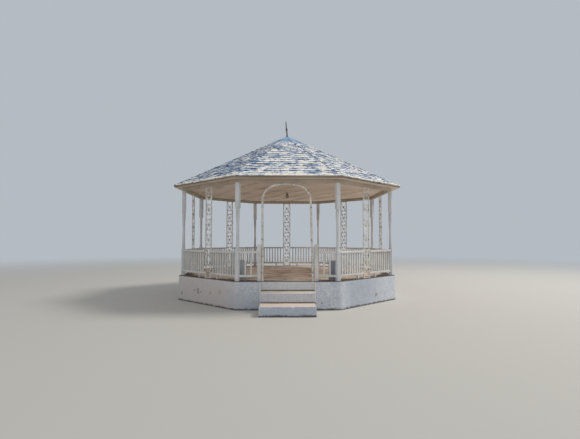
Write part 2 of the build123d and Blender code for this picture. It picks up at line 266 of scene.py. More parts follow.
def cutOff(piece, point, normal):
    # Takes away what lies beyond a plane and closes the cut
    startEdit(piece)
    bpy.ops.mesh.bisect(plane_co=point, plane_no=normal, use_fill=True, clear_outer=True)
    endEdit()


def cutWedge(piece):
    # Cuts a piece at the front down to the eighth between its two corners
    for hand in (-1, 1):
        normal = Vector((hand * math.cos(gazebo["halfTurn"]), math.sin(gazebo["halfTurn"]), 0))
        cutOff(piece, (0, 0, 0), normal)


def turnUp(name, rings, sides):
    # A closed turned form: a disc drawn up ring by ring, each ring a height and a radius
    height, radius = rings[0]
    bpy.ops.mesh.primitive_circle_add(vertices=sides, radius=radius, fill_type="NGON",
                                      location=(0, 0, height))
    turned = taken(name)
    startEdit(turned)
    for nextHeight, nextRadius in rings[1:]:
        bpy.ops.mesh.extrude_region_move(
            TRANSFORM_OT_translate={"value": (0, 0, nextHeight - height)})
        grow = nextRadius / radius
        bpy.ops.transform.resize(value=(grow, grow, 1), center_override=(0, 0, nextHeight))
        height, radius = nextHeight, nextRadius
    closeUp()
    return turned


def startBar(name, section, place):
    # The level section of a bar, in edit mode and selected, ready to be drawn out
    bpy.ops.mesh.primitive_plane_add(size=1, location=place)
    bpy.context.object.scale = (section[0], section[1], 1)
    bar = taken(name)
    startEdit(bar)
    return bar


def copyOf(piece, name, place):
    # A copy with its own mesh, put in place by a matrix
    copy = piece.copy()
    copy.data = piece.data.copy()
    copy.data.transform(place)
    copy.name = name
    bpy.context.collection.objects.link(copy)
    return copy


def joined(name, pieces):
    bpy.ops.object.select_all(action="DESELECT")
    for piece in pieces:
        piece.select_set(True)
    bpy.context.view_layer.objects.active = pieces[0]
    bpy.ops.object.join()
    whole = bpy.context.object
    whole.name = name
    return whole


def solidify(piece, thickness, offset):
    alone(piece)
    modifier = piece.modifiers.new("solidify", "SOLIDIFY")
    modifier.thickness = thickness
    modifier.offset = offset
    bpy.ops.object.modifier_apply(modifier=modifier.name)


def discard(*pieces):
    for piece in pieces:
        bpy.data.objects.remove(piece, do_unlink=True)


def turnBy(degrees, axis):
    return Matrix.Rotation(math.radians(degrees), 4, axis)


def toSide(angle):
    # From the front to the side that faces an angle
    return turnBy(angle - 270, "Z")


def weather(piece, reach, grain):
    # Moves every point a little by its place, so that nothing is quite straight or flat
    for vert in piece.data.vertices:
        shift = noise.noise_vector(vert.co / grain) * reach
        vert.co.x += shift.x
        vert.co.y += shift.y
        if vert.co.z > 0.01:   # the feet stay on the ground
            vert.co.z += shift.z * 0.6


def settle(piece, material, nodes=(), smooth=30):
    # Last step of a piece: finish, shading, body, and the CAD nodes that it stands for
    piece.data.materials.clear()
    piece.data.materials.append(material)
    alone(piece)
    bpy.ops.object.shade_smooth_by_angle(angle=math.radians(smooth))
    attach(piece, "root")
    if nodes:
        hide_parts(*nodes)


# Stage: a plain pale floor that fades into the backdrop, and soft studio light from the right
stage = {
    "floorColour": "#c9c6c0",
    "backdrop": "#b4bbc2",
    "floorRadius": 60,
    "fadeStart": 9,
    "fadeEnd": 34,
    "fill": 0.45,              # strength of the light from all round
    "fillColour": (0.93, 0.965, 1.0, 1),
    "lamps": {                 # place, size, power and colour
        "key_lamp": ((18.0, 0.5, 25.2), 8.0, 5300, (1.0, 0.965, 0.915)),
        "front_lamp": ((-6.0, -24.0, 10.0), 12.0, 300, (1, 1, 1)),
    },
    "aim": Vector((0, 0, 1.5)),
}
bpy.ops.mesh.primitive_circle_add(vertices=96, radius=stage["floorRadius"], fill_type="NGON")
stageFloor = bpy.context.object
stageFloor.name = "stage_floor"
floorMaterial, tree, place = newMaterial("stage_floor")
shader = tree.nodes["Principled BSDF"]
fill(shader, {"Base Color": stage["floorColour"], "Roughness": 0.9})
distance = addNode(tree, "VectorMath", {0: place}, operation="LENGTH")
fade = addNode(tree, "MapRange", {0: distance, 1: stage["fadeStart"], 2: stage["fadeEnd"]},
               interpolation_type="SMOOTHSTEP")
clear = addNode(tree, "BsdfTransparent")
mixed = addNode(tree, "MixShader", {0: fade, 1: shader, 2: clear})
fill(tree.nodes["Material Output"], {"Surface": mixed})
stageFloor.data.materials.append(floorMaterial)

world = bpy.data.worlds.new("studio")
bpy.context.scene.world = world
world.use_nodes = True
tree = world.node_tree
rays = addNode(tree, "LightPath").outputs
seen = addNode(tree, "Math", {0: rays["Is Camera Ray"], 1: rays["Is Glossy Ray"]},
               operation="MAXIMUM")
seen = addNode(tree, "Math", {0: seen, 1: rays["Is Transmission Ray"]}, operation="MAXIMUM")
fillLight = tree.nodes["Background"]
fill(fillLight, {"Color": stage["fillColour"], "Strength": stage["fill"]})
paleLight = addNode(tree, "Background", {0: stage["backdrop"], 1: 1.0})
mixed = addNode(tree, "MixShader", {0: seen, 1: fillLight, 2: paleLight})
fill(tree.nodes["World Output"], {"Surface": mixed})

for name, (spot, size, power, colour) in stage["lamps"].items():
    aim = (stage["aim"] - Vector(spot)).to_track_quat("-Z", "Y").to_euler()
    bpy.ops.object.light_add(type="AREA", location=spot, rotation=aim)
    lamp = bpy.context.object
    lamp.name = name
    lamp.data.size = size
    lamp.data.energy = power
    lamp.data.color = colour
print("stage set")


# Materials
def paintedStucco():
    # Cement render on masonry, trowelled and brushed with white masonry paint: matt, a little
    # uneven, chalky patches, red-brown soil and painted shadow on its foot, thin grey runs from the
    # top, and painted shade in several other places.
    material, tree, place = newMaterial("painted_stucco")
    patches = addNode(tree, "TexNoise", {"Vector": place, "Scale": 1.1, "Detail": 4,
                                         "Roughness": 0.6})
    colour = addNode(tree, "ValToRGB", {0: patches}, [(0.34, "#c9d0db"), (0.66, "#d6dce5")])
    mottle = addNode(tree, "TexNoise", {"Vector": place, "Scale": 13, "Detail": 6,
                                        "Roughness": 0.7})
    colour = coat(tree, colour, "#eceae4", mottle, 0.53, 0.68, 0.8)
    colour = coat(tree, colour, "#a3a6a6", mottle, 0.44, 0.28, 0.5)
    # flecks where the brush missed and where the paint lies thick, 25 mm across
    brushed = addNode(tree, "TexNoise", {"Vector": place, "Scale": 36, "Detail": 4,
                                         "Roughness": 0.6})
    colour = coat(tree, colour, "#f3f4f4", brushed, 0.57, 0.66, 0.7)
    colour = coat(tree, colour, "#868c95", brushed, 0.41, 0.32, 0.6)
    # bluish grey painted shade, growing towards the foot left of the steps
    along, deep, height = addNode(tree, "SeparateXYZ", {0: place}).outputs
    leftward = addNode(tree, "MapRange", {0: along, 1: -0.64, 2: -0.70, 4: 0.6})
    colour = coat(tree, colour, "#a0abb9", height, 0.60, 0.0, leftward)
    # painted shade: bluish grey over the near half of the right-hand diagonal wall
    started = addNode(tree, "MapRange", {0: along, 1: 1.35, 2: 1.65, 4: 0.45})
    colour = coat(tree, colour, "#9ba6b5", along, 2.75, 2.1, started)
    # warmer where earth has blown against the left-hand side
    colour = coat(tree, colour, "#dacbc0", along, -1.0, -1.7, 0.6)
    # the low blocks under the roof are greyer with painted shade, the right-hand one the darker
    blockShade = coat(tree, "#b7bdc3", "#7d8695", along, 0.8, 1.0)
    colour = coat(tree, colour, blockShade, height, floorLevel + 0.004, floorLevel + 0.034, 0.7)
    # the top riser is rubbed cleaner by shoes, and the others are greyer with painted shade, the
    # lowest one bluish like skylit shade
    sideways = addNode(tree, "Math", {0: along}, operation="ABSOLUTE")
    recessed = addNode(tree, "MapRange", {0: deep, 1: -2.98, 2: -3.04, 4: 0.22})
    between = addNode(tree, "MapRange", {0: sideways, 1: halfStep + 0.015, 2: halfStep - 0.005,
                                         4: recessed})
    colour = coat(tree, colour, "#f6efe8", height, riser * 2 - 0.014, riser * 2 + 0.006, between)
    colour = coat(tree, colour, "#baafb6", deep, -3.46, -3.49, 0.27)
    colour = coat(tree, colour, "#8fb0d2", deep, -3.97, -4.01, 0.27)
    # chalky worn corner at both sides of the steps, about 40 mm wide
    forward = addNode(tree, "MapRange", {0: deep, 1: -2.98, 2: -3.04, 4: 0.9})
    rough = addNode(tree, "Math", {0: mottle, 1: 0.09, 2: sideways}, operation="MULTIPLY_ADD")
    worn = addNode(tree, "MapRange", {0: rough, 1: halfStep + 0.08, 2: halfStep + 0.05,
                                      4: forward})
    colour = coat(tree, colour, "#f3efe8", rough, halfStep + 0.02, halfStep + 0.04, worn)
    # runs about 40 mm wide and most of a metre long
    runPlace = addNode(tree, "Mapping", {"Vector": place, "Scale": (24, 24, 0.9)})
    runs = addNode(tree, "TexNoise", {"Vector": runPlace, "Scale": 1, "Detail": 3})
    colour = coat(tree, colour, "#a1958a", runs, 0.58, 0.85, 0.22)
    # dark marks 40 to 90 mm across on the wall left of the entrance and on the right-hand one,
    # and one white chip on the lowest step
    dark, brown, white = "#665a50", "#bda28f", "#faf8f3"
    for spot, width, tint in (
            ((-2.414, -2.008, 0.37), 0.055, dark), ((-2.41, -2.01, 0.30), 0.05, dark),
            ((-2.53, -1.89, 0.35), 0.035, dark), ((-2.31, -2.11, 0.32), 0.035, dark),
            ((-2.98, -1.44, 0.21), 0.05, dark), ((2.39, -2.03, 0.23), 0.06, dark),
            ((0.83, -3.127, 0.17), 0.03, dark), ((-1.72, -2.70, 0.40), 0.07, brown),
            ((-2.02, -2.40, 0.33), 0.05, brown), ((0.114, -4.03, 0.222), 0.03, white)):
        away = addNode(tree, "VectorMath", {0: place, 1: spot}, operation="DISTANCE")
        edge = addNode(tree, "Math", {0: mottle, 1: width * 1.6, 2: away},
                       operation="MULTIPLY_ADD")
        colour = coat(tree, colour, tint, edge, width * 1.9, width * 1.1, 0.7)
    # dirt and painted shade in the corner at the back of each tread, about 20 mm high
    flatPlace = addNode(tree, "Mapping", {"Vector": place, "Scale": (0, 1, 1)})
    onSteps = addNode(tree, "MapRange", {0: sideways, 1: halfStep + 0.025, 2: halfStep - 0.015,
                                         4: 0.85})
    for spot in ((0, -middleRiser, riser), (0, -topRiser, riser * 2)):
        away = addNode(tree, "VectorMath", {0: flatPlace, 1: spot}, operation="DISTANCE")
        colour = coat(tree, colour, "#6a5a4d", away, 0.036, 0.014, onSteps)
    # cream dust trodden onto the treads, and dark painted shadow of the rails along the top of the
    # wall
    treadDustAndShadow = coat(tree, "#e6d2bb", "#82776c", height, 0.60, 0.64)
    colour = dustOn(tree, colour, treadDustAndShadow, mottle, 1.06, 1.3, 0.95)
    # dark painted shadow in the joint between wall and floor, and just below it
    joint = addNode(tree, "MapRange", {0: height, 1: floorLevel - 0.020, 2: floorLevel - 0.008,
                                       4: 0.85})
    colour = coat(tree, colour, "#4a403a", height, floorLevel + 0.005, floorLevel + 0.001, joint)
    # soil line with painted shadow at the foot: the lowest 30 to 60 mm
    soilAndShadow = addNode(tree, "Math", {0: mottle, 1: -0.17, 2: height}, operation="MULTIPLY_ADD")
    colour = coat(tree, colour, "#45382f", soilAndShadow, -0.03, -0.06, 0.85)
    # trowel waves of 120 mm, and sand grains drawn at 12 mm because 2 mm would not show
    waves = addNode(tree, "TexNoise", {"Vector": place, "Scale": 8, "Detail": 3})
    sand = addNode(tree, "TexNoise", {"Vector": place, "Scale": 85, "Detail": 4})
    relief = addNode(tree, "Math", {0: waves, 1: 3.0, 2: sand}, operation="MULTIPLY_ADD")
    finish(tree, colour, 0.88, relief, 0.55, 0.004)
    return material


def wornConcrete():
    # Floated concrete floor, unpainted and dusty: matt, tan from the soil walked in, with darker
    # damp patches and a fine grit.
    material, tree, place = newMaterial("worn_concrete")
    patches = addNode(tree, "TexNoise", {"Vector": place, "Scale": 1.7, "Detail": 7,
                                         "Roughness": 0.62})
    colour = addNode(tree, "ValToRGB", {0: patches},
                     [(0.36, "#ae9784"), (0.5, "#dfc9b4"), (0.64, "#fbe9d6")])
    grit = addNode(tree, "TexNoise", {"Vector": place, "Scale": 70, "Detail": 5})
    colour = coat(tree, colour, "#776857", grit, 0.6, 0.75, 0.5)
    # swept dirt and painted shadow lie under the rails: the outer 150 mm, measured from the centre
    away = addNode(tree, "VectorMath", {0: place}, operation="LENGTH")
    sweptDirtAndShadow = addNode(tree, "Math", {0: patches, 1: 0.3, 2: away}, operation="MULTIPLY_ADD")
    colour = coat(tree, colour, "#544940", sweptDirtAndShadow, 3.09, 3.22, 0.88)
    finish(tree, colour, 0.85, grit, 0.4, 0.003)
    return material


def paintedWood(name, light, shade, bare, chipped, gloss):
    # Softwood under many coats of oil paint: satin, faint grain along the piece, and grey bare
    # wood where flakes have come off.
    material, tree, place = newMaterial(name)
    # grain lines drawn 15 mm apart, because 3 mm would not show
    grainPlace = addNode(tree, "Mapping", {"Vector": place, "Scale": (65, 65, 3.5)})
    grain = addNode(tree, "TexNoise", {"Vector": grainPlace, "Scale": 1, "Detail": 4,
                                       "Roughness": 0.6})
    tone = addNode(tree, "TexNoise", {"Vector": place, "Scale": 2.3, "Detail": 3})
    blend = addNode(tree, "Mix", {0: 0.5, 2: grain, 3: tone})
    colour = addNode(tree, "ValToRGB", {0: blend}, [(0.36, shade), (0.58, light)])
    flakes = addNode(tree, "TexNoise", {"Vector": place, "Scale": 21, "Detail": 6,
                                        "Roughness": 0.75})
    missing = addNode(tree, "MapRange", {0: flakes, 1: chipped, 2: chipped + 0.05, 4: 0.85})
    colour = addNode(tree, "Mix", {0: missing, 6: colour, 7: bare}, data_type="RGBA")
    colour = dustOn(tree, colour, "#a08c79", flakes, 1.05, 1.28, 0.75)
    rough = addNode(tree, "MapRange", {0: missing, 3: gloss, 4: 0.9})
    relief = addNode(tree, "Math", {0: missing, 1: -1.4, 2: grain}, operation="MULTIPLY_ADD")
    finish(tree, colour, rough, relief, 0.35, 0.0015)
    return material


def paintedIron():
    # Wrought and cast iron brushed with white enamel: satin, thick in the corners, with rust
    # breaking through in spots and running down below them.
    material, tree, place = newMaterial("painted_iron")
    tone = addNode(tree, "TexNoise", {"Vector": place, "Scale": 6, "Detail": 4})
    colour = addNode(tree, "ValToRGB", {0: tone}, [(0.36, "#d0cdc7"), (0.62, "#efebe3")])
    runPlace = addNode(tree, "Mapping", {"Vector": place, "Scale": (45, 45, 5)})
    runs = addNode(tree, "TexNoise", {"Vector": runPlace, "Scale": 1, "Detail": 3})
    colour = coat(tree, colour, "#a98a6c", runs, 0.58, 0.78, 0.45)
    # water stands where the vines cross, in the middle of each of the six bays
    height = addNode(tree, "SeparateXYZ", {0: place}).outputs["Z"]
    risen = addNode(tree, "Math", {0: height, 1: floorLevel}, operation="SUBTRACT")
    fold = addNode(tree, "Math", {0: risen, 1: length / 12}, operation="PINGPONG")
    wet = addNode(tree, "MapRange", {0: fold, 1: 0.155, 2: 0.20, 4: 0.10})
    spots = addNode(tree, "TexNoise", {"Vector": place, "Scale": 19, "Detail": 7,
                                       "Roughness": 0.7})
    spots = addNode(tree, "Math", {0: spots, 1: wet})
    rust = addNode(tree, "MapRange", {0: spots, 1: 0.60, 2: 0.645, 4: 0.9})
    colour = addNode(tree, "Mix", {0: rust, 6: colour, 7: "#6e4a33"}, data_type="RGBA")
    rough = addNode(tree, "MapRange", {0: rust, 3: 0.42, 4: 0.9})
    relief = addNode(tree, "Math", {0: rust, 1: 1.5, 2: spots}, operation="MULTIPLY_ADD")
    finish(tree, colour, rough, relief, 0.5, 0.001)
    return material


def paintedBoard(name, light, shade):
    # Painted hardboard and plywood under the roof: matt, warm with dust, rings where rain got in.
    material, tree, place = newMaterial(name)
    clouds = addNode(tree, "TexNoise", {"Vector": place, "Scale": 0.9, "Detail": 5,
                                        "Roughness": 0.55})
    colour = addNode(tree, "ValToRGB", {0: clouds}, [(0.33, shade), (0.63, light)])
    rings = addNode(tree, "TexNoise", {"Vector": place, "Scale": 1.6, "Detail": 2,
                                       "Distortion": 0.6})
    ring = addNode(tree, "ValToRGB", {0: rings}, [(0.60, "#000000"), (0.645, "#585858"),
                                                  (0.66, "#1c1c1c"), (0.74, "#000000")])
    colour = addNode(tree, "Mix", {0: ring, 6: colour, 7: "#8b6f52"}, data_type="RGBA")
    dust = addNode(tree, "TexNoise", {"Vector": place, "Scale": 26, "Detail": 5})
    colour = coat(tree, colour, "#93836f", dust, 0.6, 0.8, 0.35)
    finish(tree, colour, 0.75, dust, 0.3, 0.002)
    return material


def paintedShingle():
    # Sawn wood shingles with old white roof paint: matt, every shingle its own tone on a ramp of
    # painted dappled sun and shade from cream to blue-grey, saw grain up the slope, painted shade on
    # the butts, and dirt and painted shadow below the next course.
    material, tree, place = newMaterial("painted_shingle")
    tone = addNode(tree, "Attribute", attribute_name="tone").outputs["Fac"]
    up = addNode(tree, "Attribute", attribute_name="up").outputs["Fac"]
    flat = addNode(tree, "UVMap", uv_map="slope")
    # noise on the flat slope, each with the number of its cells in a metre along and up:
    # grain lines drawn 14 mm apart, because 2 mm would not show, flaked and chalked paint with
    # painted dappled shade in streaks of 400 mm by 90 mm, smaller flakes, and lengths of 250 mm that
    # are kept cleaner
    patterns = {}
    for name, cells, settings in (
            ("grain", (70, 5, 1), {"Detail": 5, "Roughness": 0.65}),
            ("streaks", (2.5, 11, 1), {"Detail": 7, "Roughness": 0.74, "Distortion": 0.7}),
            ("flakes", (10, 17, 1), {"Detail": 2}),
            ("kept", (4, 6, 1), {"Detail": 2})):
        spread = addNode(tree, "Mapping", {"Vector": flat, "Scale": cells})
        patterns[name] = addNode(tree, "TexNoise", {"Vector": spread, "Scale": 1, **settings})
    value = tone
    for name, weight in {"grain": 0.45, "streaks": 1.9, "flakes": 0.9}.items():
        value = addNode(tree, "Math", {0: patterns[name], 1: weight, 2: value},
                        operation="MULTIPLY_ADD")
    # the upper third of what shows of a shingle is darker with dirt and the painted shadow of the next
    # course, and its butt above the first course is darkened by painted shade where it faces down
    soiledAndShaded = addNode(tree, "MapRange", {0: patterns["kept"], 1: 0.4, 2: 0.6, 3: -0.05, 4: -0.4})
    dirtAndShade = addNode(tree, "MapRange", {0: up, 1: 0.45, 2: 0.8, 4: soiledAndShaded})
    normal = addNode(tree, "NewGeometry").outputs["True Normal"]
    facing = addNode(tree, "SeparateXYZ", {0: normal}).outputs["Z"]
    upSlope = addNode(tree, "SeparateXYZ", {0: flat}).outputs["Y"]
    dark = addNode(tree, "MapRange", {0: patterns["kept"], 1: 0.42, 2: 0.58, 3: -0.05, 4: -0.6})
    higher = addNode(tree, "MapRange", {0: upSlope, 1: 0.08, 2: 0.12, 4: dark})
    butt = addNode(tree, "MapRange", {0: facing, 1: 0.62, 2: 0.40, 4: higher})
    for darker in (dirtAndShade, butt):
        value = addNode(tree, "Math", {0: value, 1: darker})
    # the ramp paints dappled light: cream where sunlit, blue-grey where shaded
    scaled = addNode(tree, "MapRange", {0: value, 1: 1.56, 2: 2.17})
    colour = addNode(tree, "ValToRGB", {0: scaled}, [(0.0, "#314c70"), (0.2, "#6485ae"),
                                                     (0.38, "#b4c2d5"), (0.6, "#f9f3e7")])
    # painted reflection of the sky: the blue of the apex sheet carried over the shingles next to it,
    # the upper 350 mm
    rise = addNode(tree, "SeparateXYZ", {0: place}).outputs["Z"]
    paintedSkyBlue = addNode(tree, "Math", {0: patterns["streaks"], 1: 0.35, 2: rise},
                    operation="MULTIPLY_ADD")
    colour = coat(tree, colour, "#7fa3c9", paintedSkyBlue, 4.80, 5.02, 0.8)
    finish(tree, colour, 0.85, patterns["grain"], 0.6, 0.003)
    return material


def paintedSheet():
    # Galvanised sheet with chalked white paint: smoother than the shingles, bluish with a painted
    # reflection of the sky, thin runs.
    material, tree, place = newMaterial("painted_sheet")
    clouds = addNode(tree, "TexNoise", {"Vector": place, "Scale": 7, "Detail": 5})
    colour = addNode(tree, "ValToRGB", {0: clouds}, [(0.35, "#6b92bb"), (0.65, "#9ab9d5")])
    specks = addNode(tree, "TexNoise", {"Vector": place, "Scale": 45, "Detail": 5})
    colour = coat(tree, colour, "#7d6554", specks, 0.66, 0.72, 0.7)
    finish(tree, colour, 0.5, specks, 0.3, 0.002)
    return material


def darkIron():
    # Black-painted iron bleached by the sun: blue-grey, rough, a little brown rust.
    material, tree, place = newMaterial("dark_iron")
    specks = addNode(tree, "TexNoise", {"Vector": place, "Scale": 38, "Detail": 6})
    colour = addNode(tree, "ValToRGB", {0: specks}, [(0.45, "#464d5a"), (0.68, "#5e5148")])
    finish(tree, colour, 0.62, specks, 0.4, 0.001)
    return material


def dustyGlass():
    # Seedy lantern glass with dust on it: pale, clouded, uneven.
    material, tree, place = newMaterial("dusty_glass")
    dust = addNode(tree, "TexNoise", {"Vector": place, "Scale": 60, "Detail": 4})
    colour = addNode(tree, "ValToRGB", {0: dust}, [(0.35, "#cfc6ae"), (0.7, "#efe9d8")])
    rough = addNode(tree, "MapRange", {0: dust, 3: 0.15, 4: 0.5})
    fill(tree.nodes["Principled BSDF"], {"Base Color": colour, "Roughness": rough,
                                         "Transmission Weight": 0.65, "IOR": 1.5})
    return material


stucco = paintedStucco()
concrete = wornConcrete()
postPaint = paintedWood("post_paint", "#e2e4e5", "#c5c9cd", "#8b8377", 0.66, 0.42)
railPaint = paintedWood("rail_paint", "#e7e6e3", "#c8c8c7", "#8d8275", 0.65, 0.5)
beamPaint = paintedWood("beam_paint", "#c3b7a6", "#a59886", "#6f6558", 0.63, 0.7)
ironPaint = paintedIron()
ceilingPaint = paintedBoard("ceiling_board", "#efe0d1", "#dac7b7")
deckPaint = paintedBoard("roof_deck", "#a3968a", "#83786c")
shinglePaint = paintedShingle()
sheetPaint = paintedSheet()
blackIron = darkIron()
paneGlass = dustyGlass()
for node, material in {
    "base_fill": concrete, "floor_slab": concrete,
    "roof_panels_square": deckPaint, "roof_panels_diagonal": deckPaint,
}.items():
    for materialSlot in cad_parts[node].material_slots:
        materialSlot.material = material
print("materials made")


# Platform wall: eight lengths of rendered masonry, the front one set back behind the steps
def workRound(block, face):
    # Works the outer corners of a length of wall round
    bend = wall["corner"] * math.tan(gazebo["halfTurn"])
    start = face * math.tan(gazebo["halfTurn"]) - bend
    for vert in block.data.vertices:
        past = abs(vert.co.x) - start
        if vert.co.y < -face + 0.03 and past > 0:
            swing = min(past / bend, 1) * gazebo["halfTurn"]
            shift = past - wall["corner"] * math.sin(swing)
            vert.co.x -= math.copysign(shift, vert.co.x)
            vert.co.y += wall["corner"] * (1 - math.cos(swing))


def wallBlock(name, left, right, face):
    # One length of wall at the front, its top edges worn round, cut into even cells
    block = addBlock(name, (left, -face, 0),
                     (right, -wall["apothem"] + wall["thickness"], floorLevel - 0.001))
    cutWedge(block)
    roundEdges(block, 0.022, 3,
               lambda a, b: (abs(a.z - b.z) > 0.6 and a.y < -face + 0.01
                             and abs(abs(a.x) - halfStep) < 0.01 and right - left < 2))
    roundEdges(block, wall["arris"], 3,
               lambda a, b: min(a.z, b.z) > 0.6 and max(a.y, b.y) < -face + 0.01)
    cutAcross(block, int((right - left) / wall["cell"]), 0, int(floorLevel / wall["cell"]))
    workRound(block, face)
    return block


longBlock = wallBlock("wall_length", -1.5, 1.5, wall["apothem"])
wallParts = [copyOf(longBlock, "wall_" + name, toSide(angle))
             for name, angle in sideAngles.items() if name != "front"]
for left, right, face in ((-1.5, -halfStep, wall["apothem"]), (-halfStep, halfStep, topRiser),
                          (halfStep, 1.5, wall["apothem"])):
    wallParts.append(wallBlock("wall_front", left, right, face))
discard(longBlock)
platformWall = joined("platform_wall", wallParts)
weather(platformWall, wall["uneven"], 0.22)
settle(platformWall, stucco, ["base_wall"], 40)
print("wall built")

# Steps: two rendered blocks with rounded edges, and chips at a place, so wide and so deep
steps = {
    "upper_step": {"node": "step_upper", "back": topRiser, "tread": wall["upperTread"],
                   "height": riser * 2, "short": 0.006,
                   "chips": [((0.33, -3.505, 0.464), 0.05, 0.013),
                             ((-0.28, -3.505, 0.464), 0.06, 0.012),
                             ((-0.655, -3.5, 0.43), 0.05, 0.016)]},
    "lower_step": {"node": "step_lower", "back": middleRiser, "tread": wall["lowerTread"],
                   "height": riser, "short": 0.024,
                   "chips": [((0.114, -4.035, 0.232), 0.045, 0.022),
                             ((-0.41, -4.035, 0.232), 0.05, 0.014),
                             ((0.655, -4.03, 0.2), 0.06, 0.018),
                             ((-0.655, -4.03, 0.21), 0.05, 0.016)]},
}
for name, size in steps.items():
    front = -(size["back"] + size["tread"]) + 0.003
    step = addBlock(name, (-halfStep + 0.003, front, 0),
                    (halfStep - size["short"], -size["back"], size["height"] - 0.002))
    roundEdges(step, 0.014, 4,
               lambda a, b: min(a.z, b.z) > 0.1 and (min(a.y, b.y) < front + 0.01
                                                     or min(abs(a.x), abs(b.x)) > 0.6))
    cutAcross(step, 48, 14, 9)
    weather(step, 0.010, 0.24)
    for vert in step.data.vertices:
        for spot, width, depth in size["chips"]:
            near = 1 - (vert.co - Vector(spot)).length / width
            if near > 0:
                vert.co += Vector((0, 0.7, -0.7)) * depth * near ** 0.6
        vert.co.y = max(vert.co.y, front - 0.003)
    settle(step, stucco, [size["node"]], 50)
print("steps built")

# Low rendered blocks inside the front corners
cornerBlock = {"side": 0.250, "height": 0.490, "inset": 0.069, "back": 0.288}
for name, hand in {"left": -1, "right": 1}.items():
    middle = Vector((hand * (halfSide - cornerBlock["inset"]), ironPlane + cornerBlock["back"],
                     floorLevel))
    lowBlock = standBlock("low_block_" + name, middle, cornerBlock["side"], cornerBlock["height"])
    roundEdges(lowBlock, 0.014, 3, lambda a, b: max(a.z, b.z) > floorLevel + 0.1)
    cutAcross(lowBlock, 6, 6, 12)
    weather(lowBlock, 0.004, 0.12)
    settle(lowBlock, stucco, ["corner_block_" + name], 50)

# Corner posts: squared at both ends and turned between, with a bead at each end of the shaft
post = {
    "side": 0.103,
    "lowerBlock": 0.762,
    "upperBlock": 0.650,
    "shoulder": 0.017,
    "neck": 0.037,
    "bead": 0.047,
    "beadHeight": 0.022,
    "neckLength": 0.026,
    "shaftFoot": 0.043,
    "shaftHead": 0.036,
    "groove": 0.003,           # depth of the fine groove over the foot
    "swell": 0.012,            # extra radius just under the upper block
    "taper": 0.36,             # length over which the shaft swells to it
}


def beadRings(foot, height):
    # Half-round bead from neck radius to neck radius
    rings = []
    for count in range(7):
        swing = math.pi * count / 6
        rings.append((foot + height * (1 - math.cos(swing)) / 2,
                      post["neck"] + (post["bead"] - post["neck"]) * math.sin(swing)))
    return rings


shaftFoot = post["lowerBlock"] + post["neckLength"] + post["beadHeight"]
shaftHead = length - post["upperBlock"] - post["neckLength"] - post["beadHeight"]
rings = [(post["lowerBlock"] - 0.01, post["neck"]),
         (shaftFoot - post["beadHeight"] - 0.002, post["neck"])]
rings += beadRings(shaftFoot - post["beadHeight"], post["beadHeight"])
rings += [(shaftFoot + rise, radius) for rise, radius in (
    (0.003, post["neck"]), (0.007, 0.0412), (0.014, post["shaftFoot"]),
    (0.045, post["shaftFoot"]), (0.050, post["shaftFoot"] - post["groove"]),
    (0.055, post["shaftFoot"]))]
for count in range(1, 9):
    rise = count / 9
    rings.append((shaftFoot + 0.055 + (shaftHead - shaftFoot - 0.13 - post["taper"]) * rise,
                  post["shaftFoot"] + (post["shaftHead"] - post["shaftFoot"]) * rise))
fullHead = post["shaftHead"] + post["swell"]
for count in range(1, 8):
    swing = math.pi * count / 8
    rings.append((shaftHead - 0.06 - post["taper"] * (1 - count / 7),
                  post["shaftHead"] + post["swell"] * (1 - math.cos(swing)) / 1.93))
rings += [(shaftHead - 0.055, fullHead), (shaftHead - 0.050, fullHead - 0.004),
          (shaftHead - 0.045, fullHead), (shaftHead - 0.003, fullHead)]
rings += beadRings(shaftHead, post["beadHeight"])
rings += [(shaftHead + post["beadHeight"] + 0.002, post["neck"]),
          (length - post["upperBlock"] + 0.01, post["neck"])]
postParts = [turnUp("turning", rings, 24)]
innerEnd = length - post["upperBlock"]
for foot, head, inner in ((0, post["lowerBlock"], post["lowerBlock"]),
                          (innerEnd, length, innerEnd)):
    block = standBlock("block", Vector((0, 0, foot)), post["side"], head - foot)
    roundEdges(block, post["shoulder"], 4,
               lambda a, b: abs(a.z - inner) < 0.001 and abs(b.z - inner) < 0.001)
    roundEdges(block, 0.004, 2, upright(0.3))
    cutAcross(block, 0, 0, 12)
    postParts.append(block)
cornerPost = joined("corner_post", postParts)
cornerPost.data.transform(Matrix.Translation((0, -gazebo["postCircle"], floorLevel)))
for name, angle in cornerAngles.items():
    turnedPost = copyOf(cornerPost, "turned_post_" + name, toSide(angle))
    weather(turnedPost, 0.004, 0.35)
    settle(turnedPost, postPaint, ["post_" + name], 35)
discard(cornerPost)
print("posts turned")

# Ironwork columns: two uprights, two wavy vines that cross under rosettes, scrolls and leaves
iron = {
    "spacing": 0.252,
    "upright": 0.025,
    "bays": 6,
    "reach": 0.1085,           # of the vines to each side
    "vine": (0.019, 0.009),    # width and depth
    "scroll": (0.010, 0.009),
    "scrollRadius": 0.030,
    "scrollTurn": math.radians(95),
    "bar": 0.020,
    "barDepth": 0.022,
    "leaf": 0.034,
    "rosette": 0.023,
    "plate": 0.064,            # side of a foot plate
}
bayHeight = length / iron["bays"]


def castLeaf(name, lobes, radius, thickness):
    # Flat casting with rounded lobes and a raised middle, in the plane of the ironwork
    bpy.ops.mesh.primitive_circle_add(vertices=lobes * 5, radius=radius, fill_type="TRIFAN",
                                      rotation=(math.radians(90), 0, 0))
    leaf = taken(name)
    for vert in leaf.data.vertices:
        if vert.co.length < radius / 2:
            vert.co.y -= thickness * 1.2
        else:
            turn = math.atan2(vert.co.x, vert.co.z)
            vert.co *= 0.62 + 0.38 * abs(math.cos(turn * lobes / 2))
    solidify(leaf, thickness, 0)
    return leaf


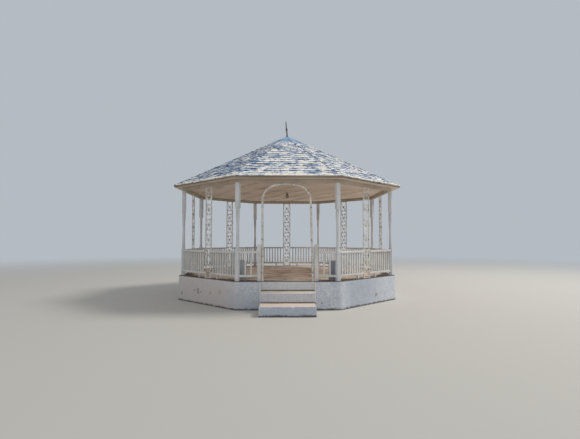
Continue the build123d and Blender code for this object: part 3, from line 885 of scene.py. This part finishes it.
def curl(name):
    # A bar wound into a scroll by four arcs that tighten, in the plane of the ironwork
    bar = startBar(name, iron["scroll"], (0, 0, 0))
    point = Vector((0, 0, 0))
    radius = iron["scrollRadius"]
    for part in range(4):
        turn = iron["scrollTurn"] * part
        centre = point - Vector((math.cos(turn), 0, math.sin(turn))) * radius
        bpy.ops.mesh.spin(steps=5, angle=-iron["scrollTurn"], center=centre, axis=(0, 1, 0))
        turn += iron["scrollTurn"]
        point = centre + Vector((math.cos(turn), 0, math.sin(turn))) * radius
        radius *= 0.70
    closeUp(merged=True)
    return bar


def footPlate(spot, side, height, boltPlace):
    # Square plate under a bar, with two hexagonal bolt heads at its front corners
    plate = standBlock("foot_plate", spot, side, height)
    roundEdges(plate, 0.003, 2, above(floorLevel + 0.001))
    parts = [plate]
    for corner in (-1, 1):
        bolt = turnUp("bolt", [(0, 0.006), (0.004, 0.006), (0.006, 0.004)], 6)
        onPlate = Vector((corner * boltPlace, -boltPlace, height - 0.001))
        bolt.data.transform(Matrix.Translation(spot + onPlate))
        parts.append(bolt)
    return parts


ironParts = []
for hand in (-1, 1):
    middle = Vector((hand * iron["spacing"] / 2, ironPlane, floorLevel))
    bar = standBlock("upright", middle, iron["upright"], length)
    roundEdges(bar, 0.004, 2, upright(1))
    cutAcross(bar, 0, 0, 12)
    start = Vector((hand * iron["reach"], ironPlane, floorLevel))
    vine = startBar("vine", iron["vine"], start)
    for count in range(1, iron["bays"] * 10 + 1):
        swing = hand * iron["reach"] * math.cos(math.pi * count / 10)
        point = Vector((swing, ironPlane, floorLevel + bayHeight * count / 10))
        bpy.ops.mesh.extrude_region_move(TRANSFORM_OT_translate={"value": point - start})
        start = point
    closeUp()
    roundEdges(vine, 0.003, 1, upright(0.02))
    ironParts += [bar, vine] + footPlate(middle, iron["plate"], 0.007, 0.024)
for foot in (0, length - iron["bar"]):
    bar = levelBar("cross_bar", -iron["spacing"] / 2, iron["spacing"] / 2, iron["barDepth"],
                   floorLevel + foot, floorLevel + foot + iron["bar"])
    roundEdges(bar, 0.003, 2, lambda a, b: abs(a.x - b.x) > 0.1)
    ironParts.append(bar)
vineLeaf = castLeaf("vine_leaf", 5, iron["leaf"], 0.005)
rosette = castLeaf("rosette", 6, iron["rosette"], 0.014)
scroll = curl("scroll")
leafSpots = [(-0.040, -0.066, 35), (0.040, 0.066, 215), (0.052, -0.078, 325),
             (-0.052, 0.078, 145)]
for bay in range(iron["bays"]):
    crossing = floorLevel + (bay + 0.5) * bayHeight
    ironParts.append(copyOf(rosette, "rosette", Matrix.Translation((0, ironPlane, crossing))))
    for hand in (-1, 1):
        lift = hand if bay % 2 else -hand
        spot = Matrix.Translation((hand * 0.072, ironPlane, crossing + lift * 0.012))
        ironParts.append(copyOf(scroll, "scroll", spot @ Matrix.Diagonal((hand, 1, lift, 1))))
    if bay:
        for along, rise, turn in leafSpots:
            spot = Matrix.Translation((along, ironPlane + 0.004,
                                       floorLevel + bay * bayHeight + rise))
            ironParts.append(copyOf(vineLeaf, "leaf", spot @ turnBy(turn, "Y")))
discard(vineLeaf, rosette, scroll)
ironwork = joined("ironwork", ironParts)
startEdit(ironwork)
closeUp()
ironSides = [name for name in sideAngles if name != "front"]
for name in ironSides:
    column = copyOf(ironwork, "ironwork_" + name, toSide(sideAngles[name]))
    settle(column, ironPaint, ["iron_column_" + name], 40)
discard(ironwork)
print("ironwork built")

# Railings: moulded handrail, square balusters, bottom rail and feet
rail = {
    "top": 0.737,
    "width": 0.088,
    "height": 0.054,
    "round": 0.012,
    "gap": 0.095,
    "bottomWidth": 0.045,
    "bottomHeight": 0.058,
    "baluster": 0.038,
    "balusters": 9,
    "shortBalusters": 2,
    "footPlace": 0.410,
    "foot": 0.045,
}
newel = {"side": 0.095, "height": 0.900, "round": 0.036, "place": 0.709}
towardSide = Vector((-math.cos(gazebo["halfTurn"]), -math.sin(gazebo["halfTurn"]), 0))
postFace = Vector((halfSide, ironPlane, 0)) + towardSide * (post["side"] / 2)
railEnd = halfSide - post["side"] / 2 / math.cos(gazebo["halfTurn"])


def railBar(name, inner, width, low, high):
    # A rail from its inner end to the slanting side of the corner post
    bar = levelBar(name, inner, halfSide + 0.05, width, floorLevel + low, floorLevel + high)
    cutOff(bar, postFace, -towardSide)
    return bar


def lengthwise(a, b):
    # Edges that run along a rail
    return abs(a.y - b.y) < 0.001 and abs(a.x - b.x) > 0.1


def railingHalf(inner, count, seed):
    # Handrail, bottom rail and balusters on one side of an ironwork column or beside a newel
    dice = random.Random(seed)
    under = rail["top"] - rail["height"]
    bottomTop = rail["gap"] + rail["bottomHeight"]
    top = railBar("handrail", inner, rail["width"], under, rail["top"])
    roundEdges(top, rail["round"], 4,
               lambda a, b: lengthwise(a, b) and a.z > floorLevel + rail["top"] - 0.001)
    roundEdges(top, 0.004, 2, lambda a, b: lengthwise(a, b) and a.z < floorLevel + under + 0.001)
    bottom = railBar("bottom_rail", inner, rail["bottomWidth"], rail["gap"], bottomTop)
    roundEdges(bottom, 0.005, 2, lengthwise)
    for bar in (top, bottom):
        cutAcross(bar, 12)
    baluster = standBlock("baluster", Vector((0, 0, bottomTop - 0.004)), rail["baluster"],
                          under - bottomTop + 0.008)
    roundEdges(baluster, 0.004, 2, upright(0.3))
    parts = [top, bottom]
    for place in range(1, count + 1):
        along = inner + (railEnd - inner) * place / (count + 1) + dice.uniform(-0.003, 0.003)
        spot = Matrix.Translation((along, ironPlane + dice.uniform(-0.002, 0.002), floorLevel))
        turned = spot @ turnBy(dice.uniform(-2.5, 2.5), "Z")
        leaning = turned @ turnBy(dice.uniform(-0.35, 0.35), "Y")
        parts.append(copyOf(baluster, "baluster", leaning))
    discard(baluster)
    return parts


def mirrored(piece, hand):
    # The left-hand piece is the right-hand one turned over
    if hand < 0:
        piece.data.transform(Matrix.Diagonal((-1, 1, 1, 1)))
        piece.data.flip_normals()
    return piece


for name in ironSides:
    halves = []
    for hand in (1, -1):
        parts = railingHalf((iron["spacing"] + iron["upright"]) / 2, rail["balusters"],
                            name + str(hand))
        foot = standBlock("rail_foot", Vector((rail["footPlace"], ironPlane, floorLevel)),
                          rail["foot"], rail["gap"] + 0.004)
        roundEdges(foot, 0.004, 2, upright(0.05))
        halves.append(mirrored(joined("railing_half", parts + [foot]), hand))
    railing = joined("baluster_railing_" + name, halves)
    railing.data.transform(toSide(sideAngles[name]))
    weather(railing, 0.004, 0.5)
    settle(railing, railPaint, ["railing_" + name], 35)
for name, hand in {"left": -1, "right": 1}.items():
    inner = newel["place"] + newel["side"] / 2
    railing = joined("short_railing_" + name, railingHalf(inner, rail["shortBalusters"], name))
    weather(mirrored(railing, hand), 0.003, 0.5)
    settle(railing, railPaint, ["entrance_railing_" + name], 35)

# Newels with rounded heads
for name, hand in {"left": -1, "right": 1}.items():
    middle = Vector((hand * newel["place"], ironPlane, floorLevel))
    newelPost = standBlock("newel_post_" + name, middle, newel["side"], newel["height"])
    roundEdges(newelPost, newel["round"], 6, above(floorLevel + newel["height"] - 0.001))
    roundEdges(newelPost, 0.005, 2, upright(0.3))
    cutAcross(newelPost, 0, 0, 10)
    weather(newelPost, 0.004, 0.3)
    settle(newelPost, railPaint, ["newel_" + name], 35)
print("railings built")

# Entrance arch: a round bar bent by arcs, on square feet
arch = {
    "radius": 0.027,
    "leg": 0.623,
    "lean": 0.010,             # the left leg leans out
    "rightLean": 0.062,        # and the right one in
    "crownRise": 0.110,
    "haunch": 0.380,
    "crown": 0.900,
    "clearance": 0.0003,       # under the header beam
    "foot": 0.070,
    "footHeight": 0.008,
}
archLeft = -arch["leg"] - arch["lean"]
archRight = arch["leg"] - arch["rightLean"]
slope = math.atan2(arch["crownRise"], (archRight - archLeft) / 2)
crownCorner = (length - arch["clearance"] - arch["radius"]
               + arch["crown"] * (1 / math.cos(slope) - 1))
shoulder = crownCorner - arch["crownRise"]
corners = [Vector((x, ironPlane, floorLevel + z)) for x, z in (
    (-arch["leg"], 0.0), (archLeft, shoulder), ((archLeft + archRight) / 2, crownCorner),
    (archRight, shoulder), (arch["leg"], 0.0))]
first = (corners[1] - corners[0]).normalized()
bpy.ops.mesh.primitive_circle_add(vertices=16, radius=arch["radius"], fill_type="NGON",
                                  location=corners[0],
                                  rotation=(0, math.atan2(first.x, first.z), 0))
archBar = taken("arch_bar")
startEdit(archBar)
point = corners[0]
for corner, after, bend in zip(corners[1:4], corners[2:5],
                               (arch["haunch"], arch["crown"], arch["haunch"])):
    incoming = (corner - point).normalized()
    outgoing = (after - corner).normalized()
    angle = incoming.angle(outgoing)
    arcStart = corner - incoming * bend * math.tan(angle / 2)
    bpy.ops.mesh.extrude_region_move(TRANSFORM_OT_translate={"value": arcStart - point})
    inward = Vector((incoming.z, 0, -incoming.x))
    bpy.ops.mesh.spin(steps=10, angle=-angle, center=arcStart + inward * bend, axis=(0, 1, 0))
    point = corner + outgoing * bend * math.tan(angle / 2)
bpy.ops.mesh.extrude_region_move(TRANSFORM_OT_translate={"value": corners[4] - point})
closeUp(merged=True)
archParts = [archBar]
for hand in (-1, 1):
    archParts += footPlate(Vector((hand * arch["leg"], ironPlane, floorLevel)), arch["foot"],
                           arch["footHeight"], 0.026)
settle(joined("bent_arch", archParts), ironPaint, ["entrance_arch"], 40)
print("arch bent")

# Header beams, mitred over the posts
beam = {"width": 0.090, "height": 0.090, "edge": 0.006}
header = levelBar("header", -1.6, 1.6, beam["width"], gazebo["ceiling"] - beam["height"],
                  gazebo["ceiling"])
cutWedge(header)
roundEdges(header, beam["edge"], 3,
           lambda a, b: abs(a.y - b.y) < 0.001 and max(a.z, b.z) < gazebo["ceiling"] - 0.01)
cutAcross(header, 20)
for setName, angles in {"square": (0, 90, 180, 270), "diagonal": (45, 135, 225, 315)}.items():
    beams = joined("beams_" + setName, [copyOf(header, "beam", toSide(angle)) for angle in angles])
    for vert in beams.data.vertices:
        vert.co.z += noise.noise(vert.co / 0.9) * 0.004 - 0.004
    settle(beams, beamPaint, ["header_beams_" + setName], 35)
discard(header)

# Ceiling: painted sheets with open joints, each one sagging between its nails
ceiling = {
    "apothem": 3.2602,
    "sheet": 0.61,
    "turn": math.radians(26),  # the joints are turned from the way in
    "joint": 0.005,
    "shift": 0.03,
    "parts": 5,                # strips into which a sheet is cut, so that it can sag
    "strip": 0.2,              # and the distance between the cuts along it
    "level": 0.4,              # distance from the beams over which the sag grows
    "sag": 0.028,
    "drop": 0.060,             # how far the left edge of a sheet has come down
    "loose": 0.4,              # share of a sheet that hangs down with its edge
    "thickness": 0.004,
}
bpy.ops.mesh.primitive_circle_add(
    vertices=8, radius=ceiling["apothem"] / math.cos(gazebo["halfTurn"]), fill_type="NGON",
    location=(0, 0, gazebo["ceiling"]), rotation=(0, 0, gazebo["halfTurn"]))
sheets = taken("ceiling_sheets")
across = Vector((math.cos(ceiling["turn"]), math.sin(ceiling["turn"]), 0))
along = Vector((-across.y, across.x, 0))
cuts = []
for count in range(-6, 6):
    offset = ceiling["sheet"] * count + ceiling["shift"]
    for edge in (-ceiling["joint"], 0, ceiling["joint"]):
        cuts.append((across, offset + edge))
    for part in range(1, ceiling["parts"]):
        cuts.append((across, offset + ceiling["sheet"] * part / ceiling["parts"]))
cuts += [(along, ceiling["strip"] * count) for count in range(-16, 17)]
startEdit(sheets)
for direction, offset in cuts:
    bpy.ops.mesh.select_all(action="SELECT")
    bpy.ops.mesh.bisect(plane_co=direction * offset, plane_no=direction)
endEdit()
innerEdge = postApothem - 0.1
for vert in sheets.data.vertices:
    ringPlace = max(abs(vert.co.x), abs(vert.co.y), abs(vert.co.x + vert.co.y) / math.sqrt(2),
                    abs(vert.co.x - vert.co.y) / math.sqrt(2))
    inside = min(1, max(0, (innerEdge - ringPlace) / ceiling["level"]))
    inside *= min(1, vert.co.xy.length / 0.5)      # the lantern holds the middle up
    step = ((vert.co.dot(across) - ceiling["shift"]) / ceiling["sheet"]) % 1
    loose = 0.45 + 0.9 * abs(noise.noise(vert.co / 2.4 + Vector((4, 2, 0))))
    loose *= 0.2 + min(1, max(0, (0.8 - vert.co.x) / 1.1))     # more on the left
    fall = 4 * step * (1 - step) * ceiling["sag"]
    if 0.0005 < step * ceiling["sheet"] < ceiling["loose"] * ceiling["sheet"]:
        fall += (1 - step / ceiling["loose"]) * ceiling["drop"]
    vert.co.z -= fall * inside * loose
solidify(sheets, ceiling["thickness"], 1)
settle(sheets, ceilingPaint, ["ceiling"], 25)
print("ceiling hung")

# Roof: sawn shingles laid in courses on every panel
shingle = {
    "exposure": 0.186,
    "overlap": 0.045,
    "narrow": 0.095,
    "wide": 0.235,
    "butt": 0.014,             # thickness at the lower edge
    "top": 0.003,
    "joint": 0.005,
    "ragged": 0.042,           # how far the first course stands out where the eave is rough
    "worn": 0.045,             # painted shade: how much darker the left-hand panels are
    "bare": 0.22,              # the last stretch up the slope, under the apex sheet
}
slopeLength = eaveApothem / math.cos(pitch)
halfEave = gazebo["eaveCircle"] * math.sin(gazebo["halfTurn"])


def shingleUnit(name, edge):
    # A block of size 1 with the top edge of its butt worn off
    unit = addBlock(name, (-0.5, 0, 0), (0.5, 1, 1))
    roundEdges(unit, edge, 1, lambda a, b: max(a.y, b.y) < 0.01 and min(a.z, b.z) > 0.9)
    return unit


def shapedFrom(unit, tone, shape):
    # A copy of a unit with every point put where shape says, marked for the material
    piece = unit.copy()
    piece.data = unit.data.copy()
    rises = [vert.co.y for vert in piece.data.vertices]
    for vert in piece.data.vertices:
        vert.co = shape(*vert.co)
    for name, values in {"tone": [tone] * len(rises), "up": rises}.items():
        marks = piece.data.attributes.new(name, "FLOAT", "POINT")
        marks.data.foreach_set("value", values)
    bpy.context.collection.objects.link(piece)
    return piece


def mapSlope(piece, shift):
    # UV map of the flat slope, in metres, which the paint follows
    flat = piece.data.uv_layers.new(name="slope")
    for loop in piece.data.loops:
        spot = piece.data.vertices[loop.vertex_index].co
        flat.data[loop.index].uv = (spot.x + shift, spot.y)


def layShingle(left, right, low, butt, twist, tone):
    # One shingle on a flat panel: x along the eave, y up the slope, z off the roof
    span = shingle["exposure"] + shingle["overlap"]
    width = right - left

    def shape(across, up, off):
        thick = butt + (shingle["top"] - butt) * up
        return ((left + right) / 2 + across * width + twist * (up - 0.5) * span,
                low + up * span + twist * across * width, max(off * thick, 0.0003))

    return shapedFrom(unit, tone, shape)


def shinglePanel(name, seed, ragged, worn):
    # All courses of one panel, cut to the hips
    dice = random.Random(seed)
    laid = []
    course = 0
    low = 0.0
    while low < slopeLength - shingle["bare"]:
        reach = halfEave * (1 - low / slopeLength)
        along = -reach - dice.uniform(0, shingle["wide"])
        while along < reach:
            width = dice.uniform(shingle["narrow"], shingle["wide"])
            wave = noise.noise(Vector((along * 0.9, low * 2.0, seed * 7.0)))
            slip = dice.uniform(-0.016, 0.016) + wave * 0.04
            butt = shingle["butt"] * dice.uniform(0.75, 1.35)
            # a random tone, lowered on the left-hand panels by painted shade
            tone = dice.betavariate(2.2, 2.2) * 0.3 + 0.08 - worn
            if course == 0:
                slip = dice.uniform(0.009, 0.014)
                butt = shingle["butt"] * dice.uniform(1.1, 1.9)
                if ragged and abs(along + width / 2) < reach - 0.2:
                    slip = dice.uniform(-ragged, 0.004)
                    butt *= 1.4
                # the first course is lighter: a painted highlight along the eave
                tone = tone * 0.7 + 0.18
            piece = layShingle(along, along + width - shingle["joint"], low + slip, butt,
                               dice.uniform(-0.012, 0.012), tone)
            for hand in (-1, 1):
                sideReach = max([hand * vert.co.x for vert in piece.data.vertices] or [0])
                if sideReach > reach - 0.16:
                    normal = Vector((hand * slopeLength, halfEave, 0)).normalized()
                    cutOff(piece, (0, slopeLength, 0), normal)
            if len(piece.data.vertices):
                laid.append(piece)
            else:
                discard(piece)
            along += width
        low += shingle["exposure"]
        course += 1
    panel = joined(name, laid)
    mapSlope(panel, 10 * seed)
    return panel


unit = shingleUnit("shingle_unit", 0.12)
for count, (name, angle) in enumerate(sideAngles.items()):
    panel = shinglePanel("shingles_" + name, count + 1, shingle["ragged"] if angle % 90 else 0,
                         shingle["worn"] if "left" in name else 0)
    panel.data.transform(toSide(angle)
                         @ Matrix.Translation((0, -eaveApothem, gazebo["eaveTop"]))
                         @ Matrix.Rotation(pitch, 4, "X"))
    settle(panel, shinglePaint, (), 30)
discard(unit)
print("shingles laid")

# Hip caps: folded shingles that overlap up every hip
hip = {
    "half": 0.075,
    "exposure": 0.165,
    "length": 0.215,
    "butt": 0.015,
    "top": 0.004,
    "seat": 0.009,             # height over the panels, on the shingles
    "stop": 0.215,             # distance from the centre at which the line ends
    "worn": 0.05,
}
hipFoot = Vector((0, -gazebo["eaveCircle"], gazebo["eaveTop"]))
hipLine = Vector((0, 0, gazebo["eaveTop"] + gazebo["roofRise"])) - hipFoot
hipUp = hipLine.normalized()
hipAcross = Vector((1, 0, 0))
hipOff = hipAcross.cross(hipUp).normalized()
panelOff = Vector((math.sin(pitch) * math.sin(gazebo["halfTurn"]),
                   -math.sin(pitch) * math.cos(gazebo["halfTurn"]), math.cos(pitch)))
fold = math.tan(math.acos(min(1, panelOff.dot(hipOff))))
hipFrame = Matrix((hipAcross, hipUp, hipOff)).transposed().to_4x4()
hipFrame.translation = hipFoot
capUnit = addBlock("cap_unit", (-0.5, 0, 0), (0.5, 1, 1))
startEdit(capUnit)
bpy.ops.mesh.bisect(plane_co=(0, 0, 0), plane_no=(1, 0, 0))
endEdit()
roundEdges(capUnit, 0.1, 1, lambda a, b: max(a.y, b.y) < 0.01 and min(a.z, b.z) > 0.9)
capParts = []
for count, (name, angle) in enumerate(cornerAngles.items()):
    dice = random.Random(70 + count)
    low = -0.012
    line = []
    while low < hipLine.length * (1 - hip["stop"] / gazebo["eaveCircle"]) - 0.05:
        butt = hip["butt"] * dice.uniform(0.8, 1.25)
        twist = dice.uniform(-0.03, 0.03)
        width = hip["half"] * dice.uniform(0.93, 1.05)

        def shape(across, up, off):
            side = across * 2 * width
            thick = butt + (hip["top"] - butt) * up
            return (side + twist * up * 0.1, low + up * hip["length"] + twist * side,
                    hip["seat"] + off * thick - abs(side) * fold)

        # the caps on the left-hand hips are darkened by painted shade
        tone = dice.uniform(0.12, 0.4) - (hip["worn"] if "left" in name else 0)
        cap = shapedFrom(capUnit, tone, shape)
        mapSlope(cap, count)
        cap.data.transform(hipFrame)
        line.append(cap)
        low += hip["exposure"] + dice.uniform(-0.006, 0.006)
    for hand in (-1, 1):
        outward = Vector((hand * math.sin(gazebo["halfTurn"]), -math.cos(gazebo["halfTurn"]), 0))
        cutOff(line[0], outward * (eaveApothem + 0.005), outward)
    strip = joined("hip_strip", line)
    strip.data.transform(toSide(angle))
    capParts.append(strip)
discard(capUnit)
settle(joined("hip_shingles", capParts), shinglePaint, ["hip_caps"], 30)
print("hips capped")

# Apex cap: folded sheet with a turned-down rim and a nail at every fold
apex = {"radius": 0.290, "top": 0.045, "sheet": 0.008, "nail": 0.030}
capSheet = apex["sheet"] / math.cos(pitch)
rimDrop = (eaveApothem - apex["radius"] * math.cos(gazebo["halfTurn"])) * math.tan(pitch)
capTop = gazebo["eaveTop"] + rimDrop + capSheet * 2
capRise = (apex["radius"] - apex["top"]) * math.cos(gazebo["halfTurn"]) * math.tan(pitch)
rings = [(capTop - capSheet + 0.001, apex["radius"] - 0.004)]
for part in (0, 0.33, 0.66, 1):
    rings.append((capTop + capRise * part,
                  apex["radius"] - (apex["radius"] - apex["top"]) * part))
apexSheet = turnUp("apex_sheet", rings, 8)
apexSheet.data.transform(Matrix.Rotation(gazebo["halfTurn"], 4, "Z"))
roundEdges(apexSheet, 0.004, 2, upright(0.01))
apexParts = [apexSheet]
for angle in cornerAngles.values():
    nail = turnUp("nail", [(0, 0.007), (0.002, 0.006), (0.004, 0.002)], 8)
    lift = apex["nail"] * math.cos(gazebo["halfTurn"]) * math.tan(pitch)
    nail.data.transform(turnBy(angle, "Z")
                        @ Matrix.Translation((apex["radius"] - apex["nail"], 0, capTop + lift))
                        @ Matrix.Rotation(pitch, 4, "Y"))
    apexParts.append(nail)
settle(joined("apex_sheet", apexParts), sheetPaint, ["apex_cap"], 25)

# Finial: turned iron spike with a ball, bent to the left on its flange
finial = {"foot": capTop + capRise, "bend": -5, "ballPlace": 0.239, "ball": 0.036, "neck": 0.020}
rings = [(-0.004, 0.041), (0.004, 0.042), (0.010, 0.042), (0.014, 0.038), (0.016, 0.033),
         (0.024, 0.0325), (0.034, 0.029), (0.041, 0.025), (0.050, 0.022), (0.120, 0.021),
         (0.200, finial["neck"])]
for count in range(1, 12):
    swing = math.pi * count / 12
    rings.append((finial["ballPlace"] - finial["ball"] * math.cos(swing) * 0.99,
                  max(finial["neck"], finial["ball"] * math.sin(swing))))
rings += [(0.278, 0.0185), (0.286, 0.0225), (0.292, 0.0225), (0.299, 0.0180), (0.380, 0.0165),
          (0.470, 0.0140), (0.500, 0.0120), (0.510, 0.0075), (0.514, 0.0020)]
spike = turnUp("turned_finial", rings, 20)
spike.data.transform(Matrix.Translation((0, 0, finial["foot"]))
                     @ turnBy(finial["bend"], "Y"))
settle(spike, blackIron, ["finial"], 40)

# Lantern: canopy, stem and pointed hood over a six-sided cage with panes in it; each turned part
# has its sides, the level that its rings are measured from, and its rings
lantern = {"hoodTop": 3.178, "paneTop": 3.144, "paneFoot": 3.078, "pane": 0.038, "bar": 0.009}
top = gazebo["ceiling"]
hoodTop, paneTop, paneFoot = lantern["hoodTop"], lantern["paneTop"], lantern["paneFoot"]
hoodRise = hoodTop - paneTop
lanternForms = {
    "canopy": (20, top, [(-0.014, 0.020), (-0.013, 0.030), (-0.009, 0.040), (-0.004, 0.0445),
                         (0, 0.0445)]),
    "stem": (12, hoodTop, [(-0.003, 0.010), (0.008, 0.010), (0.012, 0.016), (0.016, 0.010),
                           (top - 0.012 - hoodTop, 0.009)]),
    "hood": (6, paneTop, [(-0.002, 0.064), (0.003, 0.065), (0.012, 0.048), (0.024, 0.033),
                          (hoodRise, 0.018)]),
    "bottom": (6, paneFoot, [(-0.008, 0.030), (-0.006, 0.042), (0, 0.0445), (0.003, 0.042)]),
    "drop": (12, paneFoot, [(-0.017, 0.002), (-0.014, 0.007), (-0.010, 0.0085),
                            (-0.007, 0.006)]),
}
lanternParts = [turnUp(name, [(level + rise, radius) for rise, radius in rings], sides)
                for name, (sides, level, rings) in lanternForms.items()]
for count in range(6):
    bar = standBlock("cage_bar", Vector((lantern["pane"], 0, paneFoot)), lantern["bar"],
                     paneTop - paneFoot)
    roundEdges(bar, 0.002, 1, upright(0.05))
    bar.data.transform(turnBy(60 * count, "Z"))
    lanternParts.append(bar)
settle(joined("lantern_cage", lanternParts), blackIron, ["lantern_frame"], 35)
panes = turnUp("lantern_panes", [(paneFoot + 0.001, 0.029), (paneFoot + 0.020, 0.031),
                                 (paneTop - 0.020, 0.031), (paneTop - 0.001, 0.029)], 6)
settle(panes, paneGlass, ["lantern_glass"], 35)
print("finial and lantern made")

bpy.ops.object.select_all(action="DESELECT")
